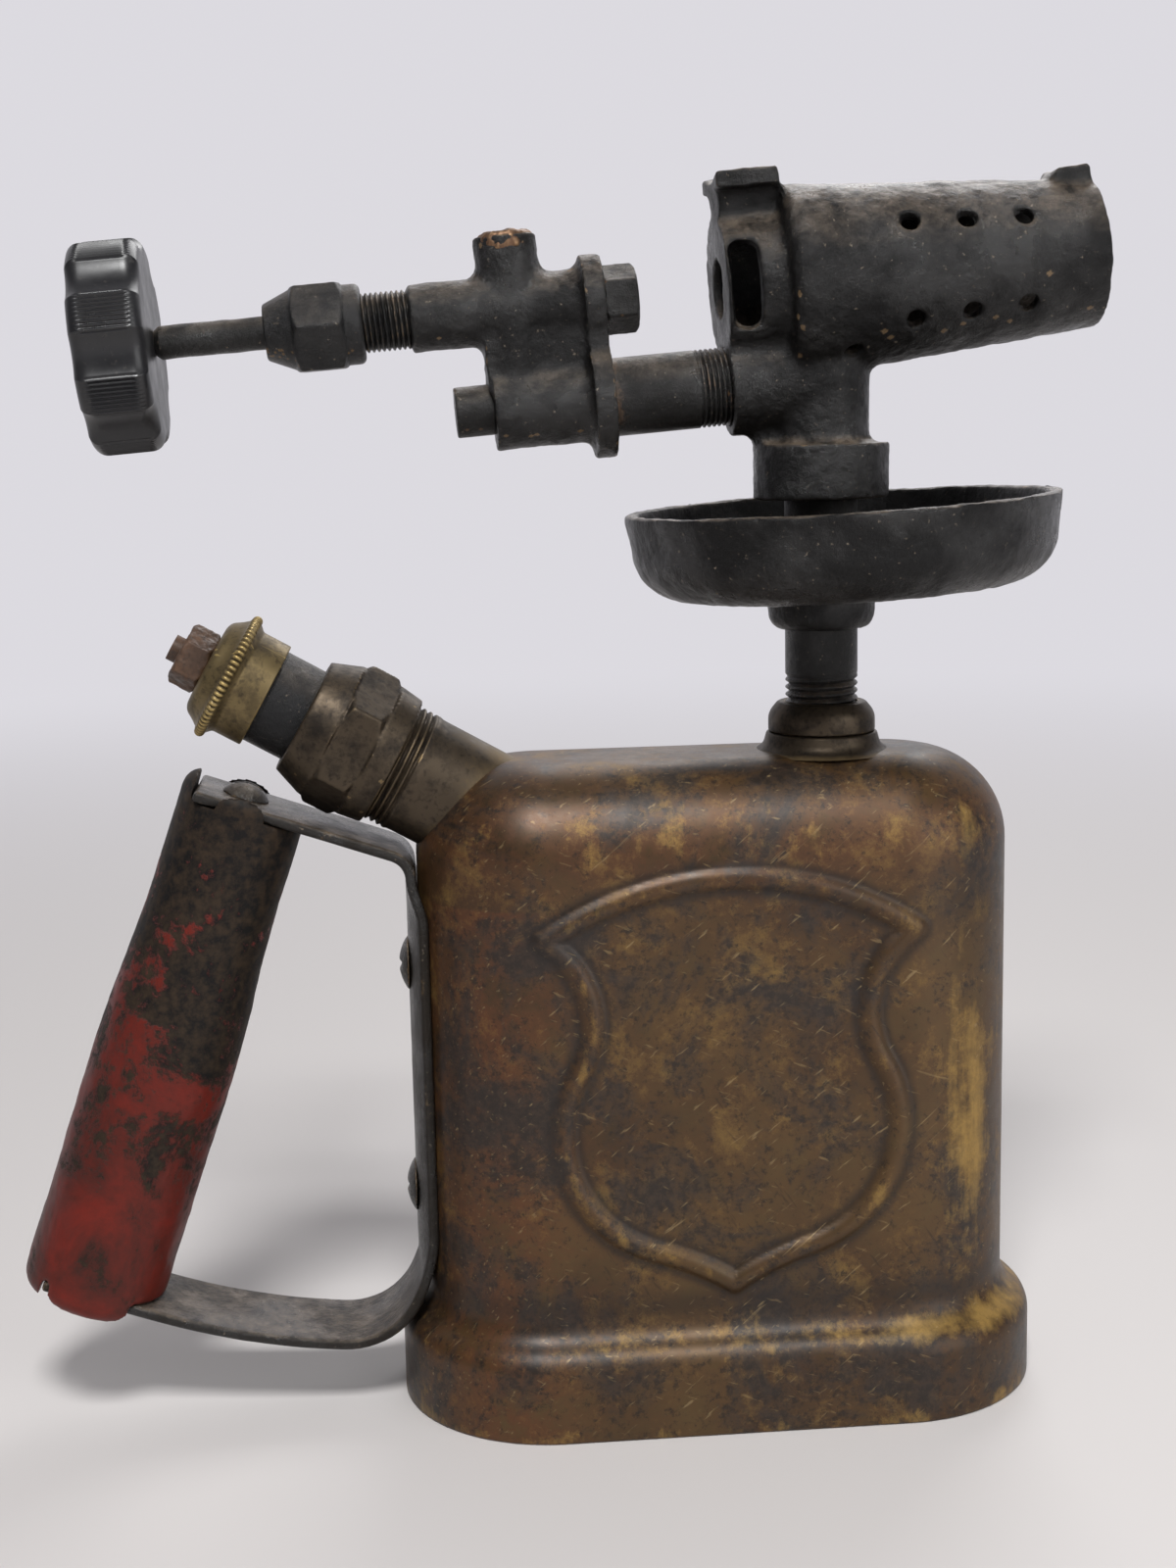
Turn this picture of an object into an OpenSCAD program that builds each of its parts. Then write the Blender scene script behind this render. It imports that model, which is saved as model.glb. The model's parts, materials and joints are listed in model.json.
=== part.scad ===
// Gasoline blowtorch with a one-pint brass tank, a slanted hand pump and a cast burner head.
// Origin: centre of the tank's base. +X points to the burner's mouth, +Z up, millimetres.

/* [Tank] */
// Length of the tank body
tank_len = 113.2; // [108:0.2:122]
// Depth of the tank body, front to back
tank_depth = 48; // [46:0.5:54]
// Height of the tank
tank_h = 125; // [118:0.5:135]
// Thickness of the tank's sheet
tank_wall = 1.2; // [0.8:0.1:1.6]
// Radius of the tank's top edge
tank_top_r = 17.5; // [14:0.5:19]
// How far the skirt stands out from the body
skirt_step = 5.5; // [4:0.1:6.5]
// Height of the skirt's upright face
skirt_h = 12.5; // [11:0.5:15]
// Height of the slope between the skirt and the body
skirt_slope_h = 10; // [8:0.5:12]

/* [Shield bead] */
// Height of the shield's lower tip
shield_tip_z = 27.8; // [24:0.1:32]
// Overall height of the shield
shield_h = 77.3; // [70:0.1:80]
// Half width and height above the tip at the lower swing
shield_swing = [15, 6.9]; // [1:0.1:90]
// Half width and height above the tip at the waist
shield_waist = [28.5, 41.2]; // [1:0.1:90]
// Half width and height above the tip at the upper corners
shield_corner = [34.3, 66.7]; // [1:0.1:90]
// Width of the bead
bead_w = 3; // [2:0.1:4]
// Height of the bead
bead_h = 1.2; // [0.8:0.1:1.6]

/* [Filler] */
// Height of the bottom plate's underside
bottom_z = 8; // [7.5:0.1:10]
// Thickness of the bottom plate
bottom_t = 1.2; // [0.8:0.1:2]
// Height of the down-turned rim of the bottom plate
bottom_rim_h = 6.5; // [4:0.1:7]
// Diameter of the filler plug's thread
plug_thread_d = 12; // [9:0.5:16]
// Diameter of the filler plug's head
plug_head_d = 18; // [17:0.5:22]
// Height of the filler plug's head
plug_head_h = 3; // [2:0.1:3.4]
// Length of the filler plug's thread
plug_thread_l = 7; // [5:0.1:9]
// Width of the collar round the filler thread
filler_collar_w = 2.5; // [1.5:0.1:4]
// Thickness of the filler boss's flange
filler_flange_t = 1.5; // [1:0.1:2]
// Thickness of the filler gasket
filler_gasket_t = 1; // [0.6:0.1:1.4]

/* [Outlet and riser] */
// Distance of the riser from the tank's centre
riser_x = 21.5; // [19:0.5:26]
// Diameter of the riser pipe
riser_d = 13.7; // [12:0.1:15]
// Bore of the riser pipe
riser_bore = 9.2; // [7:0.1:10]
// Diameter of the outlet flange
outlet_d = 21.8; // [20:0.1:25]
// Height of the outlet flange
outlet_h = 3.4; // [2.5:0.1:5]
// Length of the outlet's spigot inside the tank
outlet_spigot_l = 7; // [4:0.5:10]
// Diameter of the collar on the riser
collar_d = 20.3; // [18.5:0.1:23]
// Height of the collar on the riser
collar_h = 5.6; // [4:0.1:8]
// Length of riser thread that shows above the collar
riser_thread_l = 5.6; // [3:0.1:8]
// Pitch of the riser thread
riser_pitch = 1.41; // [1.2:0.01:1.8]
// Bare riser between the collar and the tray's hub
riser_gap = 13.8; // [10:0.1:18]
// Wall of the fuel tube
fuel_tube_wall = 1.2; // [0.8:0.1:1.6]
// Gap between the fuel tube's foot and the bottom plate
fuel_tube_gap = 4; // [2:0.5:10]

/* [Priming tray] */
// Diameter of the tray's rim
tray_d = 82; // [74:0.2:88]
// Height of the tray's bowl
tray_h = 16.4; // [13:0.2:18]
// Thickness of the tray's casting
tray_wall = 2.6; // [2:0.1:3.4]
// Radius of the tray's lower edge
tray_edge_r = 9.5; // [6:0.5:11]
// How far the tray's centre lies ahead of the riser
tray_ahead = 4.6; // [2:0.1:8]
// Lean of the tray, mouth side up
tray_lean = 2.7; // [0:0.1:3]
// Diameter of the tray's hub
tray_hub_d = 20; // [18:0.1:24]
// Height of the hub below the bowl
tray_hub_h = 7.4; // [5:0.1:10]
// Height of the hub inside the bowl
tray_hub_in_h = 8; // [5:0.5:12]

/* [Burner] */
// Gap between the tray's rim and the burner's socket
socket_gap = 0.7; // [0.5:0.1:6]
// Diameter of the burner's socket collar
socket_d = 25.4; // [22:0.1:29]
// Height of the burner's socket collar
socket_h = 10.2; // [7:0.1:12]
// Diameter of the burner's neck
neck_d = 18; // [16:0.1:21]
// Height of the burner's axis above the socket collar
head_rise = 29.8; // [28:0.1:34]
// Upward tilt of the burner head
head_tilt = 4.4; // [0:0.1:6]
// Length of the tapered barrel
barrel_len = 59; // [52:0.5:66]
// Diameter of the barrel at its rear shoulder
barrel_rear_d = 35.6; // [32:0.1:38]
// Diameter of the barrel at its mouth
barrel_mouth_d = 26.8; // [23:0.1:29]
// Thickness of the barrel's wall
barrel_wall = 2.6; // [2:0.1:3.2]
// Radius of the barrel's rear shoulder
barrel_shoulder_r = 3; // [2:0.1:5]
// Length of the rear air ring
ring_len = 11.3; // [10:0.1:14]
// Diameter of the rear air ring
ring_d = 26; // [25:0.5:30]
// Thickness of the rear plate
ring_plate_t = 2; // [1.6:0.1:4]
// Diameter of the hole in the rear plate
jet_hole_d = 11; // [8:0.1:13]
// Distance of the side air window from the rear face
window_start = 0.8; // [0.6:0.1:2]
// Length and height of the side air window
window_size = [5.4, 15.5]; // [3:0.1:18]
// Diameter of the barrel's air holes
air_hole_d = 3.9; // [3:0.1:5]
// Distance between air holes along the barrel
air_hole_step = 10.6; // [8:0.1:12]
// Distance of the first air hole from the rear shoulder
air_hole_start = 22.2; // [18:0.1:26]
// Angle of the upper air-hole rows above the sides
air_hole_angle = 31; // [20:1:40]
// Angle of the lower air-hole rows below the sides
air_hole_low_angle = 35; // [20:1:40]
// Distance of the lower air hole from the rear shoulder
low_hole_start = 11; // [9:0.1:14]
// Angle of the lower air hole below the sides
low_hole_angle = 55; // [45:1:60]
// Length, width and height above the axis of the rear iron rest
rear_rest = [10.4, 17, 20.4]; // [8:0.1:24]
// Length, width and height above the axis of the front iron rest
front_rest = [6.6, 10, 16.9]; // [4:0.1:20]
// Radius of the saddle in the iron rests
rest_saddle_r = 20; // [14:1:40]

/* [Valve] */
// Distance of the vapour pipe below the burner's axis
pipe_drop = 17.6; // [17.2:0.1:20]
// Diameter of the vapour pipe
pipe_d = 14.3; // [13:0.1:15]
// Bore of the vapour pipe
pipe_bore = 7; // [5:0.1:9]
// Length of vapour pipe that shows
pipe_len = 21.5; // [18:0.5:26]
// Length of thread that shows on the vapour pipe
pipe_thread_l = 6; // [4:0.1:9]
// Depth of the pipe in the burner's boss
pipe_depth = 8.5; // [6:0.1:10]
// Diameter of the vapour boss on the burner
vapor_boss_d = 18.4; // [17.5:0.1:20]
// Thickness of the figure-eight flange
flange_t = 3.8; // [3:0.1:5]
// Diameter of the flange round the jet
flange_jet_d = 16.6; // [15.5:0.1:19]
// Diameter of the flange round the pipe
flange_pipe_d = 21.4; // [19:0.1:23]
// Diameter of the block's upper barrel
block_d = 12; // [11.4:0.1:14]
// Length of the block's upper barrel
block_len = 31.4; // [28:0.1:36]
// Diameter of the block's lower barrel
block_low_d = 15; // [13.5:0.1:17]
// Length of the block's lower barrel
block_low_len = 18; // [16:0.5:22]
// Distance of the top boss from the flange
top_boss_at = 13; // [10:0.1:16]
// Diameter of the top boss
top_boss_d = 11.3; // [9.5:0.1:12.5]
// Height of the top boss above the stem
top_boss_h = 13; // [9:0.1:14]
// Diameter of the lower plug's head
low_plug_d = 9; // [8:0.1:11]
// Length of the lower plug's head
low_plug_l = 7; // [4:0.1:9]
// Diameter of the fine thread on the block's nose
nose_d = 10.7; // [10:0.1:11.3]
// Length of nose thread that shows
nose_show = 8.8; // [6:0.1:12]
// Pitch of the fine threads
fine_pitch = 0.94; // [0.8:0.01:1.2]
// Across flats of the jet's hexagon
jet_af = 10.8; // [10:0.1:13]
// Length of the jet's hexagon
jet_len = 6.2; // [5:0.1:9]
// Across flats of the packing nut
gland_af = 15; // [13.4:0.1:15.6]
// Length of the packing nut's hexagon
gland_hex_l = 9; // [7:0.1:11]
// Length of the packing nut's round collar
gland_collar_l = 3.4; // [2:0.1:5]
// Length of the packing nut's tapered nose
gland_nose_l = 5.2; // [4:0.1:7]
// Diameter of the valve stem
stem_d = 6; // [5:0.1:6.4]
// Bare stem between packing nut and knob
stem_gap = 19.9; // [15:0.1:24]
// Pitch of the stem's thread, its travel in one turn
stem_pitch = 1.27; // [1:0.01:1.6]

/* [Knob] */
// Diameter of the knob
knob_d = 38.5; // [34:0.1:42]
// Thickness of the knob
knob_t = 13; // [11:0.1:15]
// Number of lobes
knob_lobes = 8; // [6:1:10]
// Depth of the flutes between lobes
knob_flute = 1.5; // [0.8:0.1:2.2]
// Radius of the knob's edges
knob_edge_r = 2.6; // [1.5:0.1:3.5]
// Depth of the recess in the knob's outer face
knob_recess = 2.5; // [1.5:0.1:4]

/* [Pump] */
// Slope of the pump above level
pump_angle = 30; // [27:0.5:33]
// How far the pump thread starts inside the tank's end
pump_inset = -0.3; // [-1:0.1:2]
// How far the pump thread starts below the tank's top
pump_drop = 2.1; // [1:0.1:4]
// Diameter of the pump socket
socket_tube_d = 23; // [22:0.1:25]
// Wall of the pump socket
socket_tube_wall = 1.8; // [1.4:0.1:2]
// Depth of the pump socket inward of its thread
socket_tube_l = 26; // [24:0.5:30]
// Length of pump thread that shows
pump_thread_show = 4.5; // [3:0.1:7]
// Length of pump thread under the nut
pump_thread_in = 4; // [3:0.1:5]
// Pitch of the pump thread
pump_pitch = 1.27; // [1:0.01:1.6]
// Across flats of the pump's union nut
pump_nut_af = 25; // [24.6:0.1:26.5]
// Length of the union nut's inner taper
pump_nut_in_l = 4.4; // [3.5:0.1:6]
// Length of the union nut's hexagon
pump_nut_hex_l = 8; // [7:0.1:10]
// Length of the union nut's outer taper
pump_nut_out_l = 5.8; // [4:0.1:8]
// Bore of the pump barrel
pump_bore = 16; // [14:0.1:16.4]
// Wall of the pump barrel
pump_wall = 1; // [0.7:0.1:1.2]
// Stroke of the plunger
pump_stroke = 52; // [40:1:56]
// Length of guide tube that shows
guide_show = 8; // [6:0.1:12]
// Length of guide tube under the plunger's cap
guide_under = 5.8; // [4:0.1:8]
// Thickness of the guide's end wall
guide_end_t = 3; // [2:0.1:4]
// Diameter of the plunger cap's skirt
cap_d = 20.6; // [20.4:0.1:23]
// Diameter of the plunger cap's beaded flange
cap_flange_d = 25; // [23:0.1:28]
// Thickness of the plunger cap's beaded flange
cap_flange_t = 2; // [1.5:0.1:3]
// Diameter of the plunger cap's crown
cap_crown_d = 18; // [16:0.1:20]
// Height of the plunger cap's crown
cap_crown_h = 3.4; // [2.5:0.1:5]
// Diameter of the plunger rod
rod_d = 5; // [4:0.1:6]
// Across flats of the plunger's nut
rod_nut_af = 10.5; // [9:0.1:12]
// Thickness of the plunger's nut
rod_nut_t = 5.3; // [3:0.1:7]
// Rod end that shows past the nut
rod_stub = 2; // [1:0.1:4]

/* [Foot valve] */
// Diameter of the air passage
foot_hole_d = 4; // [3:0.1:5]
// Diameter of the valve disc
foot_disc_d = 8.4; // [7:0.1:9.4]
// Thickness of the valve disc
foot_disc_t = 1.5; // [1:0.1:2.5]
// Lift of the valve disc
foot_lift = 1.5; // [0.8:0.1:2]
// Thickness of the spring's wire
foot_wire_d = 0.6; // [0.4:0.05:0.8]
// Turns of the spring
foot_turns = 4; // [3:1:5]

/* [Handle] */
// Distance of the grip's upper end from the tank's end
grip_reach = 31.8; // [28:0.2:36]
// Length of the grip
grip_len = 105.3; // [96:0.1:108]
// Lean of the grip from upright
grip_lean = 19.5; // [16:0.5:21]
// Diameter of the grip's belly
grip_belly_d = 27; // [25:0.1:30]
// Diameter of the grip's waist
grip_waist_d = 23.8; // [23:0.1:25]
// Radius of the grip's ends
grip_end_r = 3; // [2:0.1:4]
// Depth of the strap below the grip's upper end
grip_inset_top = 3.6; // [3:0.1:6]
// Depth of the strap above the grip's lower end
grip_inset_low = 3.4; // [3:0.1:6]
// Diameter of the grip's bolt
bolt_d = 5; // [4:0.1:6]
// Diameter of the bolt's head
bolt_head_d = 8.8; // [8:0.1:11]
// Width of the strap
strap_w = 21; // [19:0.5:22]
// Thickness of the strap
strap_t = 2; // [1.6:0.1:2.6]
// Radius of the strap's lower bend
strap_low_r = 14.5; // [13.5:0.5:16]
// Radius of the strap's upper bend
strap_top_r = 5; // [4:0.5:7]
// Height of the strap's lower bend above the skirt's slope
strap_low_lift = 5.4; // [5:0.1:10]
// Gap between the strap and the tank's end
strap_gap = 0.15; // [0.12:0.01:0.3]
// Length of the strap's ends past the bolt
strap_end_l = 9; // [8:0.5:10]
// Gap between the strap's upper arm and the pump's nut
strap_clear = 1.9; // [1.2:0.1:3]
// Heights of the strap's two screws
strap_screw_z = [41.7, 86]; // [35:0.1:92]
// Diameter of the strap's screws
strap_screw_d = 4; // [3:0.1:5]
// Diameter of the strap screws' heads
strap_head_d = 10; // [8:0.5:11]

/* [Fits] */
// Radial gap of soldered, screwed and running fits
fit = 0.05; // [0.03:0.01:0.08]
// Gap between faces that move past each other
run_gap = 0.3; // [0.25:0.05:0.4]

/* [Hidden] */
$fn = 64;
eps = 0.01;
// Length by which a cut runs past a face
past = 1;
// Angle across a hexagon's half side
hex_half = 30;
// Share of a hexagon's corner that is turned off
hex_turn = 0.7;

// Tank
tank_r = tank_depth / 2;
end_x = tank_len / 2 - tank_r;
skirt_r = tank_r + skirt_step;
skirt_turn = 2 * atan(skirt_step / skirt_slope_h);
skirt_joint = skirt_slope_h / 2;
skirt_round = skirt_joint / sin(skirt_turn);
skirt_in_r = skirt_r - tank_wall;
bottom_rim_t = bottom_t;
plug_r = plug_thread_d / 2;
filler_collar_r = plug_r + filler_collar_w;
filler_flange_z = bottom_z - filler_flange_t;
filler_gasket_z = filler_flange_z - filler_gasket_t;
filler_gasket_inset = 0.5;
plug_slot = [2, 1.5];

// Shield bead: joints of the right half, and how far each arc swells past its chord
shield_joints = [[0, 0], shield_swing, shield_waist, shield_corner];
shield_swell = [-0.6, 8.6, -5.5];
shield_crown = shield_h - shield_corner[1];
shield_tip_miter = 1.2;
shield_corner_miter = [1.7, 0.3];
bead_steps = 7;
bead_margin = 0.12;

// Riser, from the tank upwards
outlet_spigot_wall = 1.8;
outlet_spigot_r = riser_d / 2 + outlet_spigot_wall;
outlet_draft = 0.4;
collar_z = tank_h + outlet_h;
collar_top_z = collar_z + collar_h;
collar_round = 2;
riser_thread_depth = 0.7;
riser_foot_z = tank_h - outlet_spigot_l;
hub_z = collar_top_z + riser_gap;
tray_z = hub_z + tray_hub_h;
tray_rim_z = tray_z + tray_h;
socket_z = tray_rim_z + socket_gap;
socket_top_z = socket_z + socket_h;
socket_floor = 2;
head_z = socket_top_z + head_rise;
fuel_tube_r = riser_bore / 2 - fit;
fuel_tube_foot_z = bottom_z + bottom_t + fuel_tube_gap;
fuel_tube_top_z = collar_z;
tray_flare = 1.2;
hub_round = 3;

// Burner, along its own axis from the riser's axis
shoulder_x = -7.9;
mouth_x = shoulder_x + barrel_len;
back_x = shoulder_x - ring_len;
barrel_rear_r = barrel_rear_d / 2;
barrel_mouth_r = barrel_mouth_d / 2;
ring_r = ring_d / 2;
chamber_wall = 3.4;
chamber_r = ring_r - chamber_wall;
passage_r = pipe_bore / 2;
rest_lip = 3.1;
rest_overhang = 0.6;
rest_stem_w = 10;
front_rest_back = 0.4;

// Valve, outwards from the burner's rear plate
flange_at = pipe_len;
block_at = flange_at + flange_t;
nose_at = block_at + block_len;
gland_at = nose_at + nose_show;
gland_hex_at = gland_at + gland_collar_l;
gland_nose_at = gland_hex_at + gland_hex_l;
gland_end = gland_nose_at + gland_nose_l;
nose_in_hex = 4;
nose_end = gland_hex_at + nose_in_hex;
packing_t = 3;
packing_gland_t = 1.2;
knob_at = gland_end + stem_gap;
knob_end = knob_at + knob_t;
stem_r = stem_d / 2;
nose_r = nose_d / 2;
packing_lip = 1;
packing_r = nose_r - packing_lip;
gland_round = 1;
gland_collar_inset = 0.4;
gland_shoulder_inset = 0.3;
gland_neck_wall = 1.9;
fine_depth = 0.45;
jet_shank_r = 4.2;
jet_shank_l = 6.5;
jet_bore_r = 1.8;
jet_orifice_r = 0.7;
jet_tip_t = 2;
needle_gap = 1;
needle_l = 12;
needle_root_l = 3;
needle_tip_r = 0.4;
needle_root_r = 1.4;
chamber_l = 20;
chamber_gap = 1;
cross_bore_r = 2;
flange_waist_inset = 2;
stem_thread_depth = 0.6;
low_plug_r = low_plug_d / 2;
low_plug_shank_r = 3.2;
low_plug_shank_l = 5;
low_plug_spot_gap = 0.4;
pipe_spigot_r = 5.2;
pipe_spigot_l = 6;
top_plug_r = 3.6;
top_plug_l = 4;
top_plug_rise = 1.1;
block_web_w = 9.4;
knob_nut_af = 9;
knob_nut_t = 3;
knob_washer_r = 5.6;
knob_washer_t = 0.8;
stem_step = 0.8;
knob_phase = 17;
knob_flute_r = 9;
knob_recess_r = 12;

// Pump, outwards from the inner end of its thread
pump_x = -tank_len / 2 + pump_inset;
pump_z = tank_h - pump_drop;
socket_tube_r = socket_tube_d / 2;
pump_thread_proud = 0.25;
pump_thread_r = socket_tube_r + pump_thread_proud;
pump_thread_depth = 0.6;
socket_tube_end = pump_thread_show + pump_thread_in;
pump_gasket_t = 1;
pump_flange_t = 1.3;
barrel_top = socket_tube_end + pump_gasket_t + pump_flange_t;
guide_flange_t = 1.5;
nut_floor = barrel_top + guide_flange_t;
pump_r = pump_bore / 2;
pump_ro = pump_r + pump_wall;
pump_flange_inset = 0.5;
pump_flange_r = pump_thread_r - pump_flange_inset;
guide_proud = 0.2;
guide_r = pump_ro + guide_proud;
nut_hex_at = pump_thread_show + pump_nut_in_l;
nut_taper_at = nut_hex_at + pump_nut_hex_l;
nut_end = nut_taper_at + pump_nut_out_l;
nut_corner_r = pump_nut_af / 2 / cos(hex_half);
nut_round_proud = 0.8;
nut_round_r = pump_nut_af / 2 + nut_round_proud;
nut_foot_inset = 0.6;
nut_mouth_wall = 1.9;
nut_mouth_r = guide_r + nut_mouth_wall;
cap_at = nut_end + guide_show;
guide_end = cap_at + guide_under;
cap_in_z = guide_end + run_gap;
cap_skirt_over = 0.6;
cap_flange_at = cap_in_z + cap_skirt_over;
cap_crown_foot = 0.5;
cap_crown_at = cap_flange_at + cap_flange_t;
cap_top = cap_crown_at + cap_crown_h;
cap_bore_r = guide_r + run_gap;
rod_r = rod_d / 2;
rod_end = cap_top + rod_nut_t + rod_stub;
piston_gap = 0.5;
leather_h = 6;
piston_washer_t = 1.5;
foot_spigot_l = 3;
foot_plate_t = 4;
pump_depth = pump_stroke + foot_spigot_l + piston_gap + leather_h + piston_washer_t;
foot_top = -pump_depth + foot_spigot_l;
foot_at = -pump_depth - foot_plate_t;
foot_cage_wall = 1.8;
foot_cage_end_t = 1;
foot_spring_l = 4;
foot_cage_l = foot_cage_end_t + foot_spring_l + foot_lift + foot_disc_t;
foot_cage_end = foot_at - foot_cage_l;
foot_disc_r = foot_disc_d / 2;
foot_disc_gap = 0.8;
foot_cage_ri = foot_disc_r + foot_disc_gap;
leather_t = 1.5;
leather_r = pump_r - fit;
leather_low = foot_top + piston_gap;
leather_top = leather_low + leather_h;
piston_washer_inset = 0.6;
rod_foot_gap = 0.5;
follower_t = 1;
piston_nut_af = 8;
piston_nut_t = 3;
spring_low = foot_cage_end + foot_cage_end_t;
spring_top = foot_at - foot_disc_t - 2 * fit;
spring_wire_r = foot_wire_d / 2;
spring_r = foot_disc_r - 2 * foot_wire_d;

// Handle: the upper arm clears the pump's nut, and the grip hangs from it
tank_end_x = -tank_len / 2;
grip_axis = [sin(grip_lean), cos(grip_lean)];
arm_axis = [cos(grip_lean), -sin(grip_lean)];
nut_mid = (nut_hex_at + nut_taper_at) / 2;
nut_under_x = pump_x - nut_mid * cos(pump_angle) - nut_corner_r * sin(pump_angle);
nut_under_z = pump_z + nut_mid * sin(pump_angle) - nut_corner_r * cos(pump_angle);
arm_x = tank_end_x - grip_reach;
arm_z = nut_under_z - (strap_t / 2 + strap_clear) / cos(grip_lean)
    + (nut_under_x - arm_x) * tan(grip_lean);
grip_base = [arm_x, arm_z] - (grip_len - grip_inset_top) * grip_axis;
strap_x = tank_end_x - strap_gap - strap_t / 2;
strap_straight = 15;
bow_low_l = 12;
bow_steps = 4;
bow_top_l = 9;
strap_low_pin = grip_base + grip_inset_low * grip_axis;
strap_low_start = strap_low_pin + strap_straight * arm_axis;
strap_low_z = skirt_h + skirt_slope_h + strap_low_lift;
strap_low_slope = slope_between(-60, 60, 40);
strap_sag_r = abs(sag_span(strap_low_slope) / (sin(grip_lean) - sin(strap_low_slope)));
slot_clear = 0.3;
bolt_head_h = 2.6;
bolt_slot = [1.2, 1];
grip_nut_af = 9;
grip_nut_t = 3.2;
grip_steps = 16;
grip_waist_from = 0.45;
grip_waist_over = 0.38;
strap_head_h = 1.6;
strap_slot = [1, 0.9];
strap_boss_wall = 2.5;
strap_boss_r = strap_screw_d / 2 + strap_boss_wall;
strap_boss_t = 3;

// Shapes about the local Z axis

module rod(r, z0, z1) {
    translate([0, 0, z0]) cylinder(r = r, h = z1 - z0);
}

module taper(r0, r1, z0, z1) {
    translate([0, 0, z0]) cylinder(r1 = r0, r2 = r1, h = z1 - z0);
}

module tube(ro, ri, z0, z1) {
    difference() {
        rod(ro, z0, z1);
        rod(ri, z0 - past, z1 + past);
    }
}

module hex_bar(af, z0, z1) {
    translate([0, 0, z0]) cylinder(r = af / 2 / cos(hex_half), h = z1 - z0, $fn = 6);
}

// Hexagon bar whose corners are turned off at both ends
module hex_turned(af, z0, z1) {
    corner = af / 2 / cos(hex_half);
    cut = (corner - af / 2) * hex_turn;
    intersection() {
        hex_bar(af, z0, z1);
        rotate_extrude() polygon([[0, z0], [af / 2, z0], [corner, z0 + cut],
            [corner, z1 - cut], [af / 2, z1], [0, z1]]);
    }
}

// Threaded rod, its ridges fitted to a whole number
module thread(r, depth, pitch, z0, z1) {
    count = round((z1 - z0) / pitch);
    step = (z1 - z0) / count;
    ridges = [for (i = [0:count - 1]) each [[r - depth, z0 + i * step], [r, z0 + (i + 0.5) * step]]];
    rotate_extrude() polygon(concat([[0, z0]], ridges, [[r - depth, z1], [0, z1]]));
}

// Quarter disc that rounds the upper outer corner of a half section at [r, top]
module round_corner(r, top, edge) {
    translate([r - edge, top - edge]) intersection() {
        circle(edge);
        square(edge);
    }
}

// Disc with round edges
module round_disc(r, z0, z1, edge) {
    rotate_extrude() {
        translate([0, z0]) square([r - edge, z1 - z0]);
        translate([0, z0 + edge]) square([r, z1 - z0 - 2 * edge]);
        for (z = [z0 + edge, z1 - edge]) translate([r - edge, z]) circle(edge);
    }
}

// Low dome standing on z = 0
module dome(r, h) {
    ball = (r * r + h * h) / (2 * h);
    rotate_extrude() intersection() {
        translate([0, h - ball]) circle(ball);
        square([r, h]);
    }
}

// Closed skin over a row of rings with the same even number of points, capped like a ladder
module skin(rings) {
    m = len(rings[0]);
    n = len(rings);
    end = (n - 1) * m;
    cap = [for (j = [0:m / 2 - 2]) each [[j, j + 1, m - 2 - j], [j, m - 2 - j, m - 1 - j]]];
    near_cap = [for (f = cap) [f[0], f[2], f[1]]];
    far_cap = [for (f = cap) [end + f[0], end + f[1], end + f[2]]];
    sides = [for (i = [0:n - 2], j = [0:m - 1]) let (k = (j + 1) % m) each
        [[i * m + j, i * m + k, (i + 1) * m + k], [i * m + j, (i + 1) * m + k, (i + 1) * m + j]]];
    polyhedron(points = [for (ring = rings) each ring], faces = concat(near_cap, far_cap, sides));
}

// Frames

module burner_frame() {
    translate([riser_x, 0, head_z]) rotate([0, -head_tilt, 0]) children();
}

// Along the burner's axis, mouth in +Z
module barrel_frame() {
    burner_frame() rotate([0, 90, 0]) children();
}

// Outwards along the stem from the rear plate, with local X up
module valve_frame() {
    burner_frame() translate([back_x, 0, 0]) rotate([0, -90, 0]) children();
}

module pipe_frame() {
    valve_frame() translate([-pipe_drop, 0, 0]) children();
}

module pump_frame() {
    translate([pump_x, 0, pump_z]) rotate([0, pump_angle - 90, 0]) children();
}

module grip_frame() {
    translate([grip_base[0], 0, grip_base[1]]) rotate([0, grip_lean, 0]) children();
}

module riser_frame() {
    translate([riser_x, 0, 0]) children();
}

// Tank

// Profile swept round the oval plan
module oval_sweep() {
    for (side = [-1, 1]) translate([side * end_x, 0, 0]) rotate_extrude() children();
    rotate([90, 0, 90]) translate([0, 0, -end_x]) linear_extrude(2 * end_x) {
        children();
        mirror([1, 0]) children();
    }
}

// Half section of the tank, drawn in from its outer face by inset
module tank_profile(inset) {
    r = tank_r - inset;
    edge = tank_top_r - inset;
    top = tank_h - inset;
    joint = skirt_joint - inset * sin(skirt_turn);
    hollow_h = skirt_slope_h - joint;
    square([r - edge, top]);
    square([r, top - edge]);
    round_corner(r, top, edge);
    square([skirt_r - inset, skirt_h]);
    translate([0, skirt_h]) square([skirt_r - skirt_round, joint]);
    translate([skirt_r - skirt_round, skirt_h]) intersection() {
        circle(skirt_round - inset);
        square([skirt_round, joint]);
    }
    translate([0, skirt_h + joint]) difference() {
        square([tank_r + skirt_round, hollow_h]);
        translate([tank_r + skirt_round, hollow_h]) circle(skirt_round + inset);
    }
}

// Points between p and q on an arc that swells by s to the right of the chord, set out by w
function arc_between(p, q, s, w) = let (chord = q - p, half = norm(chord) / 2,
    radius = (half * half + s * s) / (2 * abs(s)), right = [chord[1], -chord[0]] / (2 * half),
    centre = (p + q) / 2 - sign(s) * (radius - abs(s)) * right,
    start = atan2(p[1] - centre[1], p[0] - centre[0]), sweep = sign(s) * 2 * asin(half / radius))
    [for (i = [0:bead_steps]) let (a = start + sweep * (bead_margin + (1 - 2 * bead_margin) * i / bead_steps))
        centre + (radius + sign(s) * w) * [cos(a), sin(a)]];

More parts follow.
